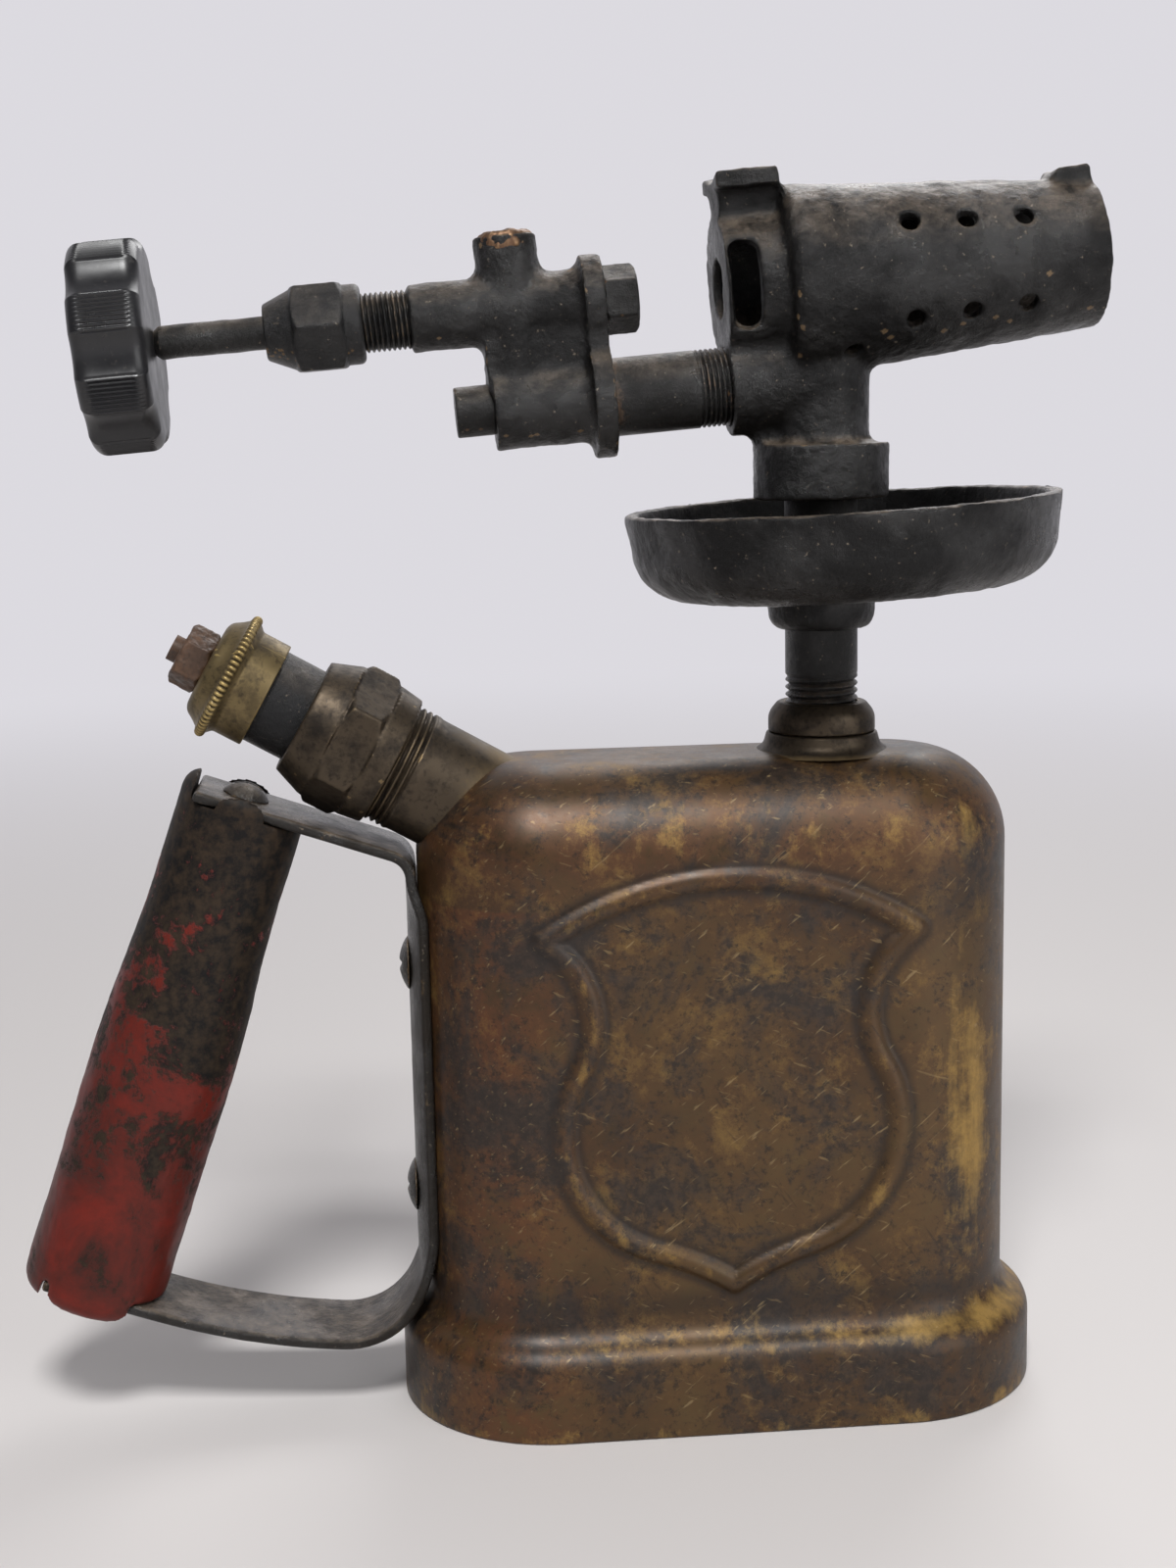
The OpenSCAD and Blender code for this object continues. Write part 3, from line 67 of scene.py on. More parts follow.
RISER_X = 21.5
RISER_R = 6.85
RISER_TOP = 180
RISER_PITCH = 1.41
RISER_THREAD_H = 5.6
FINE_PITCH = 0.94
OUTLET_R = 10.9
COLLAR_R = 10.15
COLLAR_Z = 128.4
COLLAR_TOP = 134

HEAD_Z = 212.3
HEAD_TILT = 4.4
REST_SPLIT_X = 20
FRONT_REST_Z = 14.2
REAR_REST_Z = 18.4
BACK_X = -19.2
PIPE_DROP = 17.6
PIPE_R = 7.15
PIPE_THREAD = (-8.5, 6)
FLANGE_AT = 21.5
NOSE_AT = 56.7
NOSE_R = 5.35
GLAND_AT = 65.5
BOSS_AT = 38.3
BOSS_TOP = 13
STEM_R = 3
STEM_TIP = 29
STEM_END = 116.5
KNOB_AT = 103
KNOB_T = 13
KNOB_R = 19.25
KNOB_BORE = 2.25
KNOB_EDGE = 2.6
KNOB_LOBES = 8
KNOB_PHASE = 17
FLUTE_R = 9
FLUTE_DEPTH = 1.5
RIB_TURN = 2.35
RIB_DEPTH = 0.32

PUMP_X = -56.9
PUMP_Z = 122.9
PUMP_SLOPE = 30
PUMP_HOLE_R = 10
PUMP_CUT_L = 60
PUMP_PITCH = 1.27
SOCKET_R = 11.5
SOCKET_BORE = 9.7
SOCKET_FOOT = -24
SOCKET_THREAD_TOP = 8.5
GUIDE_R = 9.2
GUIDE_BORE = 2.9
GUIDE_FOOT = 10.8
GUIDE_TOP = 36.5
CAP_AT = 30.7
CAP_R = 10.3
CAP_BORE = 2.6
CAP_BEADS = 70

GRIP_FOOT = (-122.35, 22.55)
GRIP_LEAN = 19.5
GRIP_LEN = 105.3
GRIP_LOW_D = 27
GRIP_TOP_D = 23.8
STRAP_T = 2
STRAP_W = 21
STRAP_X = -57.75
STRAP_LOW_IN = 3.4
STRAP_TOP_IN = 3.6
STRAP_END = 9
STRAP_STRAIGHT = 15
STRAP_LOW_SLOPE = 5.02
STRAP_LOW_R = 14.5
STRAP_TOP_R = 5

NODES = frame["nodes"]
SLOTS = {part["node"]: part["material_slot"] for part in frame["record"]["subparts"]}
BODY_OF = {node: body for body, nodes in frame["record"]["behaviour"]["bodies"].items() for node in nodes}


def slanted(x, z, turn):
    """Frame at a point of the middle plane, turned about the axis across the torch."""
    return Matrix.Translation((x * MM, 0, z * MM)) @ Matrix.Rotation(math.radians(turn), 4, "Y")


RISER = slanted(RISER_X, 0, 0)
HEAD = slanted(RISER_X, HEAD_Z, -HEAD_TILT)
VALVE = HEAD @ slanted(BACK_X, 0, -90)
PIPE = VALVE @ slanted(-PIPE_DROP, 0, 0)
PUMP = slanted(PUMP_X, PUMP_Z, PUMP_SLOPE - 90)
GRIP = slanted(*GRIP_FOOT, GRIP_LEAN)


# Materials

def linear(code):
    """Linear colour of an sRGB hex code."""
    shares = [int(code[i:i + 2], 16) / 255 for i in (1, 3, 5)]
    return [s / 12.92 if s <= 0.04045 else ((s + 0.055) / 1.055) ** 2.4 for s in shares] + [1]


def per_mm(size):
    """Pattern scale at which one feature is that many millimetres."""
    return 1 / (size * MM)


def set_inputs(tree, node, inputs):
    """Links a node's inputs to sockets or to other nodes' results, or sets them to values."""
    for key, value in inputs.items():
        if isinstance(value, bpy.types.Node):
            value = next(socket for socket in value.outputs if socket.enabled)
        if isinstance(value, bpy.types.NodeSocket):
            tree.links.new(value, node.inputs[key])
        else:
            node.inputs[key].default_value = value


def add_node(tree, kind, inputs=None, **settings):
    """Adds a node with its settings and links."""
    made = tree.nodes.new("ShaderNode" + kind)
    for key, value in settings.items():
        setattr(made, key, value)
    set_inputs(tree, made, inputs or {})
    return made


def new_finish(name):
    """Starts a material and gives its node tree, its shader and its coordinates."""
    material = bpy.data.materials.new(name)
    material.use_nodes = True
    tree = material.node_tree
    tree.nodes.clear()
    shader = add_node(tree, "BsdfPrincipled")
    add_node(tree, "OutputMaterial", {"Surface": shader})
    return material, tree, shader, add_node(tree, "TexCoord").outputs["Object"]


def patinated_brass():
    """Drawn sheet brass left to tarnish: mottled brown oxide, yellow metal where rubbed and as painted
    highlights, painted shade along the bead, fine scratches.
    """
    material, tree, shader, coords = new_finish("patinated_brass")
    cloud = add_node(tree, "TexNoise", {"Vector": coords, "Scale": per_mm(30), "Detail": 6,
                                        "Roughness": 0.6})
    blotch = add_node(tree, "TexNoise", {"Vector": coords, "Scale": per_mm(13), "Detail": 12,
                                         "Roughness": 0.8})
    stain = add_node(tree, "TexNoise", {"Vector": coords, "Scale": per_mm(24), "Detail": 10,
                                        "Roughness": 0.72, "Distortion": 0.5})
    speck = add_node(tree, "TexNoise", {"Vector": coords, "Scale": per_mm(1.7), "Detail": 8,
                                        "Roughness": 0.78})
    long_way = add_node(tree, "Mapping", {"Vector": coords, "Scale": (1, 1, 0.16)})
    streak = add_node(tree, "TexNoise", {"Vector": long_way, "Scale": per_mm(6), "Detail": 8,
                                         "Roughness": 0.65})
    wear_and_painted_highlight = add_node(tree, "Attribute", attribute_name="wear_and_painted_highlight").outputs["Fac"]
    dark_marks_and_painted_shade = add_node(tree, "Attribute", attribute_name="dark_marks_and_painted_shade").outputs["Fac"]
    copper_tone_and_highlight = add_node(tree, "Attribute", attribute_name="copper_tone_and_highlight").outputs["Fac"]

    cloud_share = add_node(tree, "MapRange", {"Value": cloud, "From Min": 0.38, "From Max": 0.62})
    brown = add_node(tree, "Mix", {0: cloud_share, 6: linear("#513f24"), 7: linear("#3b2c1a")},
                     data_type="RGBA")
    warm_share = add_node(tree, "MapRange", {"Value": blotch, "From Min": 0.36, "From Max": 0.6})
    # Coppery tone, with a painted coppery highlight along the shoulder.
    warm = add_node(tree, "Math", {0: copper_tone_and_highlight, 1: warm_share}, operation="MULTIPLY")
    coppery = add_node(tree, "Mix", {0: warm, 6: brown, 7: linear("#5a3620")}, data_type="RGBA")
    pale_share = add_node(tree, "MapRange", {"Value": blotch, "From Min": 0.52, "From Max": 0.66,
                                             "To Max": 0.85})
    mottled = add_node(tree, "Mix", {0: pale_share, 6: coppery, 7: linear("#765d31")}, data_type="RGBA")
    dark = add_node(tree, "MapRange", {"Value": stain, "From Min": 0.48, "From Max": 0.61, "To Max": 0.85})
    stained = add_node(tree, "Mix", {0: dark, 6: mottled, 7: linear("#2f2620")}, data_type="RGBA")
    cluster = add_node(tree, "Math", {0: stain, 1: 0.7, 2: speck}, operation="MULTIPLY_ADD")
    speck_share = add_node(tree, "MapRange", {"Value": cluster, "From Min": 0.86, "From Max": 0.98,
                                              "To Max": 0.85})
    specked = add_node(tree, "Mix", {0: speck_share, 6: stained, 7: linear("#221b16")}, data_type="RGBA")
    ragged = add_node(tree, "Math", {0: streak, 1: blotch}, operation="ADD")
    # Gold shows wear, and painted highlights on the shoulder and the right end.
    bright_amount = add_node(tree, "Math", {0: ragged, 1: 2.2, 2: wear_and_painted_highlight}, operation="MULTIPLY_ADD")
    gold_share = add_node(tree, "MapRange", {"Value": bright_amount, "From Min": 2.65, "From Max": 3.4,
                                             "To Max": 0.8})
    gold_wear_and_highlight = add_node(tree, "Mix", {0: gold_share, 6: specked, 7: linear("#a08043")}, data_type="RGBA")
    # Darker marks, and a painted shadow along the bead's foot.
    colour = add_node(tree, "Mix", {0: dark_marks_and_painted_shade, 6: gold_wear_and_highlight, 7: linear("#1f1916")}, data_type="RGBA")
    # Real scratches are finer: these are 0.8 mm wide so that they show.
    for turn, shade in ((0.9, "#9c8660"), (-0.6, "#1f1915"), (-1.2, "#8d7650")):
        way = add_node(tree, "Mapping", {"Vector": coords, "Rotation": (0, turn, 0.2), "Scale": (1, 1, 28)},
                       vector_type="TEXTURE")
        scratch = add_node(tree, "TexNoise", {"Vector": way, "Scale": per_mm(0.8), "Detail": 3})
        share = add_node(tree, "MapRange", {"Value": scratch, "From Min": 0.66, "From Max": 0.74,
                                            "To Max": 0.4})
        colour = add_node(tree, "Mix", {0: share, 6: colour, 7: linear(shade)}, data_type="RGBA")

    metal = add_node(tree, "MapRange", {"Value": dark, "To Min": 0.4, "To Max": 0.2})
    rough = add_node(tree, "MapRange", {"Value": blotch, "From Min": 0.3, "From Max": 0.7,
                                        "To Min": 0.3, "To Max": 0.56})
    relief = add_node(tree, "Bump", {"Height": speck, "Strength": 0.3, "Distance": 0.07 * MM})
    set_inputs(tree, shader, {"Base Color": colour, "Metallic": metal, "Roughness": rough,
                              "Normal": relief})
    return material


def turned_brass(name, dull, bright, dirt, bright_from):
    """Turned brass fittings, brown with age and bright on their edges, with dirt in patches and specks."""
    material, tree, shader, coords = new_finish(name)
    blotch = add_node(tree, "TexNoise", {"Vector": coords, "Scale": per_mm(6), "Detail": 8,
                                         "Roughness": 0.7})
    speck = add_node(tree, "TexNoise", {"Vector": coords, "Scale": per_mm(1.1), "Detail": 4})
    edge = add_node(tree, "NewGeometry").outputs["Pointiness"]
    ragged = add_node(tree, "Math", {0: blotch, 1: 0.16, 2: edge}, operation="MULTIPLY_ADD")
    bright_amount = add_node(tree, "MapRange", {"Value": ragged, "From Min": bright_from,
                                       "From Max": bright_from + 0.06})
    dirt_share = add_node(tree, "MapRange", {"Value": blotch, "From Min": 0.46, "From Max": 0.64,
                                             "To Max": 0.85})
    dirty = add_node(tree, "Mix", {0: dirt_share, 6: linear(dull), 7: linear(dirt)}, data_type="RGBA")
    speck_share = add_node(tree, "MapRange", {"Value": speck, "From Min": 0.55, "From Max": 0.7,
                                              "To Max": 0.6})
    specked = add_node(tree, "Mix", {0: speck_share, 6: dirty, 7: linear(dirt)}, data_type="RGBA")
    colour = add_node(tree, "Mix", {0: bright_amount, 6: specked, 7: linear(bright)}, data_type="RGBA")
    rough = add_node(tree, "MapRange", {"Value": blotch, "From Min": 0.3, "From Max": 0.7,
                                        "To Min": 0.36, "To Max": 0.62})
    relief = add_node(tree, "Bump", {"Height": speck, "Strength": 0.3, "Distance": 0.08 * MM})
    set_inputs(tree, shader, {"Base Color": colour, "Metallic": 0.8, "Roughness": rough, "Normal": relief})
    return material


def sooty_casting(name="sooty_casting", soot="#0d0c0c", rust="#6f5a40", rust_from=0.63, dust=0.75):
    """Iron or brass blackened by soot and oil: near black, grainy, worn on the edges, brown dust on top that
    also serves as painted light from above.
    """
    material, tree, shader, coords = new_finish(name)
    cloud = add_node(tree, "TexNoise", {"Vector": coords, "Scale": per_mm(16), "Detail": 6,
                                        "Roughness": 0.6})
    # Moulding sand and crumbs of soot are finer: they are this coarse so that they show.
    sand = add_node(tree, "TexNoise", {"Vector": coords, "Scale": per_mm(1.3), "Detail": 8,
                                       "Roughness": 0.72})
    crumb = add_node(tree, "TexNoise", {"Vector": coords, "Scale": per_mm(0.9), "Detail": 3,
                                        "Roughness": 0.6})
    fleck = add_node(tree, "TexNoise", {"Vector": coords, "Scale": per_mm(4), "Detail": 9,
                                        "Roughness": 0.78})
    geometry = add_node(tree, "NewGeometry")
    ragged = add_node(tree, "Math", {0: geometry.outputs["Pointiness"], 1: 4, 2: fleck},
                      operation="MULTIPLY_ADD")
    rust_share = add_node(tree, "MapRange", {"Value": ragged, "From Min": rust_from + 2.08,
                                             "From Max": rust_from + 2.25, "To Max": 0.8})
    grey_share = add_node(tree, "MapRange", {"Value": cloud, "From Min": 0.4, "From Max": 0.65})
    black = add_node(tree, "Mix", {0: grey_share, 6: linear(soot), 7: linear("#181716")}, data_type="RGBA")
    # Upward faces get brown dust, which also serves as painted light from above.
    upward = add_node(tree, "SeparateXYZ", {"Vector": geometry.outputs["Normal"]}).outputs["Z"]
    lying = add_node(tree, "MapRange", {"Value": upward, "From Min": 0.25, "From Max": 0.95,
                                        "To Max": dust})
    drift = add_node(tree, "MapRange", {"Value": fleck, "From Min": 0.38, "From Max": 0.62})
    dust_and_top_light_share = add_node(tree, "Math", {0: lying, 1: drift}, operation="MULTIPLY")
    dusty_and_top_lit = add_node(tree, "Mix", {0: dust_and_top_light_share, 6: black, 7: linear("#75685a")}, data_type="RGBA")
    rusty = add_node(tree, "Mix", {0: rust_share, 6: dusty_and_top_lit, 7: linear(rust)}, data_type="RGBA")
    crumb_share = add_node(tree, "MapRange", {"Value": crumb, "From Min": 0.66, "From Max": 0.74,
                                              "To Max": 0.55})
    colour = add_node(tree, "Mix", {0: crumb_share, 6: rusty, 7: linear("#8d8070")}, data_type="RGBA")
    oily = add_node(tree, "MapRange", {"Value": cloud, "From Min": 0.42, "From Max": 0.6,
                                       "To Min": 0.26, "To Max": 0.56})
    rough = add_node(tree, "MapRange", {"Value": cloud, "From Min": 0.42, "From Max": 0.6,
                                        "To Min": 0.4, "To Max": 0.25})
    relief = add_node(tree, "Bump", {"Height": sand, "Strength": 1, "Distance": 0.4 * MM})
    set_inputs(tree, shader, {"Base Color": colour, "Metallic": 0.1, "Specular IOR Level": oily,
                              "Roughness": rough, "Normal": relief})
    return material


def phenolic():
    """Moulded black phenolic: deep black, half gloss, with faint handling marks and dust."""
    material, tree, shader, coords = new_finish("black_phenolic")
    smear = add_node(tree, "TexNoise", {"Vector": coords, "Scale": per_mm(8), "Detail": 6,
                                        "Roughness": 0.65})
    # Dust is finer: it is this coarse so that it shows.
    dust = add_node(tree, "TexNoise", {"Vector": coords, "Scale": per_mm(0.7), "Detail": 3})
    share = add_node(tree, "MapRange", {"Value": dust, "From Min": 0.62, "From Max": 0.75, "To Max": 0.35})
    colour = add_node(tree, "Mix", {0: share, 6: linear("#1a1a1c"), 7: linear("#4a4642")}, data_type="RGBA")
    rough = add_node(tree, "MapRange", {"Value": smear, "From Min": 0.3, "From Max": 0.7,
                                        "To Min": 0.26, "To Max": 0.44})
    set_inputs(tree, shader, {"Base Color": colour, "Roughness": rough})
    return material


def painted_wood():
    """Turned hardwood in red enamel, rubbed through to dark, greasy wood, most of all at the upper end."""
    material, tree, shader, coords = new_finish("worn_red_enamel")
    patch = add_node(tree, "TexNoise", {"Vector": coords, "Scale": per_mm(15), "Detail": 12,
                                        "Roughness": 0.76, "Distortion": 0.3})
    speck = add_node(tree, "TexNoise", {"Vector": coords, "Scale": per_mm(2.2), "Detail": 5,
                                        "Roughness": 0.7})
    # Fibres of wood are finer: they are 1.5 mm wide so that they show.
    grain_way = add_node(tree, "Mapping", {"Vector": coords, "Rotation": (0, math.radians(GRIP_LEAN), 0),
                                           "Scale": (1, 1, 16)}, vector_type="TEXTURE")
    grain = add_node(tree, "TexNoise", {"Vector": grain_way, "Scale": per_mm(1.5), "Detail": 4})
    place = add_node(tree, "SeparateXYZ", {"Vector": coords})
    height = add_node(tree, "MapRange", {"Value": place.outputs["Z"], "From Min": 40 * MM,
                                         "From Max": 122 * MM, "To Min": -0.03, "To Max": 0.14})
    near_tank = add_node(tree, "MapRange", {"Value": place.outputs["X"], "From Min": -125 * MM,
                                            "From Max": -85 * MM, "To Min": -0.06, "To Max": 0.06})
    bias = add_node(tree, "Math", {0: height, 1: near_tank}, operation="ADD")
    wear = add_node(tree, "Math", {0: patch, 1: bias}, operation="ADD")
    speckled = add_node(tree, "Math", {0: speck, 1: 0.4, 2: wear}, operation="MULTIPLY_ADD")
    bare = add_node(tree, "MapRange", {"Value": speckled, "From Min": 0.72, "From Max": 0.79})
    faded = add_node(tree, "MapRange", {"Value": patch, "From Min": 0.35, "From Max": 0.6})
    red = add_node(tree, "Mix", {0: faded, 6: linear("#6b2017"), 7: linear("#3f1d17")}, data_type="RGBA")
    bare_share = add_node(tree, "MapRange", {"Value": speck, "From Min": 0.4, "From Max": 0.64})
    wood = add_node(tree, "Mix", {0: bare_share, 6: linear("#0d0b0a"), 7: linear("#30251a")},
                    data_type="RGBA")
    colour = add_node(tree, "Mix", {0: bare, 6: red, 7: wood}, data_type="RGBA")
    rough = add_node(tree, "MapRange", {"Value": bare, "To Min": 0.42, "To Max": 0.62})
    paint_edge = add_node(tree, "Math", {0: bare, 1: -1}, operation="MULTIPLY")
    relief = add_node(tree, "Bump", {"Height": paint_edge, "Strength": 0.6, "Distance": 0.12 * MM})
    fibre = add_node(tree, "Bump", {"Height": grain, "Strength": 0.25, "Distance": 0.1 * MM,
                                    "Normal": relief})
    set_inputs(tree, shader, {"Base Color": colour, "Specular IOR Level": 0.22, "Roughness": rough,
                              "Normal": fibre})
    return material


def old_steel(name, clean, tarnish, rust_from, metallic):
    """Bare steel with years of dust, grease and rust on it: grainy, dull, brown in patches."""
    material, tree, shader, coords = new_finish(name)
    patch = add_node(tree, "TexNoise", {"Vector": coords, "Scale": per_mm(9), "Detail": 9,
                                        "Roughness": 0.7})
    # Grit is finer: it is this coarse so that it shows.
    grit = add_node(tree, "TexNoise", {"Vector": coords, "Scale": per_mm(0.9), "Detail": 4,
                                       "Roughness": 0.65})
    share = add_node(tree, "MapRange", {"Value": patch, "From Min": rust_from,
                                        "From Max": rust_from + 0.18})
    base = add_node(tree, "Mix", {0: share, 6: linear(clean), 7: linear(tarnish)}, data_type="RGBA")
    dark = add_node(tree, "MapRange", {"Value": grit, "From Min": 0.5, "From Max": 0.7, "To Max": 0.6})
    colour = add_node(tree, "Mix", {0: dark, 6: base, 7: linear("#231d19")}, data_type="RGBA")
    rough = add_node(tree, "MapRange", {"Value": share, "To Min": 0.42, "To Max": 0.75})
    relief = add_node(tree, "Bump", {"Height": grit, "Strength": 0.4, "Distance": 0.12 * MM})
    set_inputs(tree, shader, {"Base Color": colour, "Metallic": metallic, "Roughness": rough,
                              "Normal": relief})
    return material


def seal_stuff(name, colour, streak):
    """Oiled leather, rubber and packing: matte, dark, slightly grained."""
    material, tree, shader, coords = new_finish(name)
    grain = add_node(tree, "TexNoise", {"Vector": coords, "Scale": per_mm(1.2), "Detail": 5})
    mixed = add_node(tree, "Mix", {0: grain, 6: linear(colour), 7: linear(streak)}, data_type="RGBA")
    relief = add_node(tree, "Bump", {"Height": grain, "Strength": 0.3, "Distance": 0.1 * MM})
    set_inputs(tree, shader, {"Base Color": mixed, "Roughness": 0.7, "Normal": relief})
    return material


FINISHES = {
    "aged_brass": patinated_brass(),
    "dark_bronze": turned_brass("browned_brass", "#4a4034", "#766449", "#221e1b", 0.615),
    "gold_brass": turned_brass("yellow_brass", "#726345", "#a8925f", "#3a3228", 0.6),
    "plug_bronze": turned_brass("broken_brass", "#7c604a", "#ae8d69", "#46342a", 0.6),
    "black_casting": sooty_casting(),
    "black_pipe": sooty_casting("blackened_pipe", "#161514", "#5d4632", 0.63, 0.5),
    "guide_black": sooty_casting("blackened_guide", "#1a1a1b", "#6b5334", 0.63, 0.35),
    "phenolic": phenolic(),
    "painted_wood": painted_wood(),
    "strap_steel": sooty_casting("dusty_steel", "#211c17", "#6a563d", 0.63, 0.65),
    "rusty_steel": old_steel("rusted_steel", "#453327", "#5f4431", 0.42, 0.15),
    "spring_steel": old_steel("bare_steel", "#9a968e", "#6e675c", 0.55, 0.9),
    "gasket": seal_stuff("gasket_fibre", "#2e2620", "#4a3d32"),
    "cup_leather": seal_stuff("oiled_leather", "#4d3420", "#6e4c2e"),
}


# Modelling

def modify(piece, kind, **settings):
    """Adds a modifier with its settings and applies it."""
    change = piece.modifiers.new(kind.lower(), kind)
    for key, value in settings.items():
        setattr(change, key, value)
    bpy.context.view_layer.objects.active = piece
    bpy.ops.object.modifier_apply(modifier=change.name)


def edit(piece):
    """Goes into edit mode with everything of the piece selected."""
    bpy.ops.object.select_all(action="DESELECT")
    piece.select_set(True)
    bpy.context.view_layer.objects.active = piece
    bpy.ops.object.mode_set(mode="EDIT")
    bpy.ops.mesh.select_all(action="SELECT")


def close_up():
    """Welds doubles, turns the faces outwards and leaves edit mode."""
    bpy.ops.mesh.select_all(action="SELECT")
    bpy.ops.mesh.remove_doubles(threshold=WELD)
    bpy.ops.mesh.normals_make_consistent(inside=False)
    bpy.ops.object.mode_set(mode="OBJECT")


def rounded(corners):
    """Outline whose corners (radius, height, rounding) become small curves."""
    line = []
    for i, corner in enumerate(corners):
        here = Vector(corner[:2])
        if len(corner) < 3 or i in (0, len(corners) - 1):
            line.append(tuple(here))
            continue
        back = Vector(corners[i - 1][:2]) - here
        on = Vector(corners[i + 1][:2]) - here
        reach = min(corner[2], 0.45 * back.length, 0.45 * on.length)
        start = here + back.normalized() * reach
        end = here + on.normalized() * reach
        for t in (0, 0.25, 0.5, 0.75, 1):
            line.append(tuple(start * (1 - t) ** 2 + here * 2 * t * (1 - t) + end * t * t))
    return line


def turned(name, outline, sides=96):
    """Draws an outline of (radius, height) points by extruding a vertex, and spins it about the Z axis."""
    bpy.ops.object.select_all(action="DESELECT")
    bpy.ops.mesh.primitive_plane_add(size=MM)
    piece = bpy.context.object
    piece.name = name
    edit(piece)
    bpy.ops.mesh.merge(type="CENTER")
    last = (0, 0)
    for i, point in enumerate(outline):
        step = ((point[0] - last[0]) * MM, 0, (point[1] - last[1]) * MM)
        if i == 0:
            bpy.ops.transform.translate(value=step)
        else:
            bpy.ops.mesh.extrude_vertices_move(TRANSFORM_OT_translate={"value": step})
        last = point
    bpy.ops.mesh.select_all(action="SELECT")
    bpy.ops.mesh.spin(steps=sides, angle=math.tau, center=(0, 0, 0), axis=(0, 0, 1))
    close_up()
    return piece


def thread_rows(radius, low, high, pitch):
    """Outline points close enough together to carry a thread."""
    count = round((high - low) / pitch * ROWS_A_TURN)
    return [(radius, low + (high - low) * i / count) for i in range(count + 1)]


def cut_thread(piece, crest, depth, pitch, low, high):
    """Sinks a helical groove into a turned run, fading out at its ends."""
    for vertex in piece.data.vertices:
        x, y, z = vertex.co / MM
        reach = math.hypot(x, y)
        if reach < crest - depth or not low <= z <= high:
            continue
        phase = (z / pitch - math.atan2(y, x) / math.tau) % 1
        ridge = min(1, 1.3 * (1 - abs(2 * phase - 1)))
        fade = min(1, (z - low) / pitch, (high - z) / pitch)
        vertex.co.xy *= (crest - depth * fade * (1 - ridge)) / reach


def copy_node(node, name):
    """Welded copy of a CAD node's mesh."""
    bpy.ops.object.select_all(action="DESELECT")
    piece = bpy.data.objects.new(name, NODES[node].data.copy())
    bpy.context.scene.collection.objects.link(piece)
    edit(piece)
    bpy.ops.mesh.remove_doubles(threshold=WELD)
    bpy.ops.object.mode_set(mode="OBJECT")
    return piece


def cut_away(piece, cutter):
    """Takes the cutter's shape out of a piece, and the cutter out of the scene."""
    modify(piece, "BOOLEAN", operation="DIFFERENCE", object=cutter, solver="EXACT")
    bpy.data.objects.remove(cutter)


def clouds(size):
    """Texture of soft lumps of that many millimetres."""
    texture = bpy.data.textures.new("lumps", "CLOUDS")
    texture.noise_scale = size * MM
    texture.noise_depth = 3
    return texture


def roughen(piece, size, depth):
    """Moves the surface in and out by lumps of that size and depth."""
    modify(piece, "DISPLACE", texture=clouds(size), strength=depth * MM, mid_level=0.5)


def cast(piece, grain, fillet=0, smooth=6, swell=0):
    """Gives a piece a casting's round corners: swells it, shrinks it back, smooths it, makes up the loss."""
    modify(piece, "REMESH", mode="VOXEL", voxel_size=grain * MM)
    if fillet:
        modify(piece, "DISPLACE", strength=fillet * MM, mid_level=0)
        modify(piece, "REMESH", mode="VOXEL", voxel_size=grain * MM)
        modify(piece, "DISPLACE", strength=-fillet * MM, mid_level=0)
    modify(piece, "SMOOTH", factor=0.5, iterations=smooth)
    if swell:
        modify(piece, "DISPLACE", strength=swell * MM, mid_level=0)


def fit(piece, *nodes, place=None, sharp=40, finish=None):
    """Puts a finished piece in its place, in its finish, on the body of the nodes it stands for."""
    if place:
        piece.data.transform(place)
    bpy.ops.object.select_all(action="DESELECT")
    piece.select_set(True)
    bpy.context.view_layer.objects.active = piece
    bpy.ops.object.shade_smooth_by_angle(angle=math.radians(sharp))
    slot = SLOTS[nodes[0]]
    piece.data.materials.clear()
    piece.data.materials.append(FINISHES[finish or slot])
    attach(piece, BODY_OF[nodes[0]])
    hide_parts(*nodes)


def arc(centre, radius, start, end, count):
    """Points on an arc, its angles in degrees."""
    angles = [math.radians(start + (end - start) * i / count) for i in range(count + 1)]
    return [(centre[0] + radius * math.cos(a), centre[1] + radius * math.sin(a)) for a in angles]


# Tank

def swell_between(p, q, swell, count=24):
    """Points from p to q on an arc that swells to the right of the chord."""
    p, q = Vector(p), Vector(q)
    half = (q - p).length / 2
    radius = (half * half + swell * swell) / (2 * abs(swell))
    right = Vector((q.y - p.y, p.x - q.x)) / (2 * half)
    side = math.copysign(1, swell)
    centre = (p + q) / 2 - side * (radius - abs(swell)) * right
    start = math.atan2(p.y - centre.y, p.x - centre.x)
    sweep = side * 2 * math.asin(half / radius)
    angles = [start + sweep * i / count for i in range(count + 1)]
    return [centre + radius * Vector((math.cos(a), math.sin(a))) for a in angles]


def shield_line():
    """Middle line of the shield's bead, in X and Z, as one closed row of points."""
    side = []
    for p, q, swell in zip(SHIELD_JOINTS, SHIELD_JOINTS[1:], SHIELD_SWELLS):
        side += swell_between(p, q, swell)
    corner = SHIELD_JOINTS[-1]
    crown = swell_between(corner, (-corner[0], corner[1]), SHIELD_CROWN)
    left = [Vector((-p.x, p.y)) for p in reversed(side)]
    return np.array([(p.x, p.y + SHIELD_TIP_Z) for p in side + crown + left])


def bead_distance(points):
    """Distance of each (x, z) point from the shield's line."""
    line = shield_line()
    best = np.full(len(points), 1e9)
    for a, b in zip(line, np.roll(line, -1, axis=0)):
        along = b - a
        length = along @ along
        if length < 1e-9:
            continue
        share = np.clip(((points - a) @ along) / length, 0, 1)
        best = np.minimum(best, np.linalg.norm(points - a - share[:, None] * along, axis=1))
    return best


def skirt_slope():
    """Turn and rounding of the two arcs that make the slope between the skirt and the body."""
    turn = 2 * math.atan((SKIRT_R - TANK_R) / SKIRT_SLOPE_H)
    return math.degrees(turn), SKIRT_SLOPE_H / 2 / math.sin(turn)


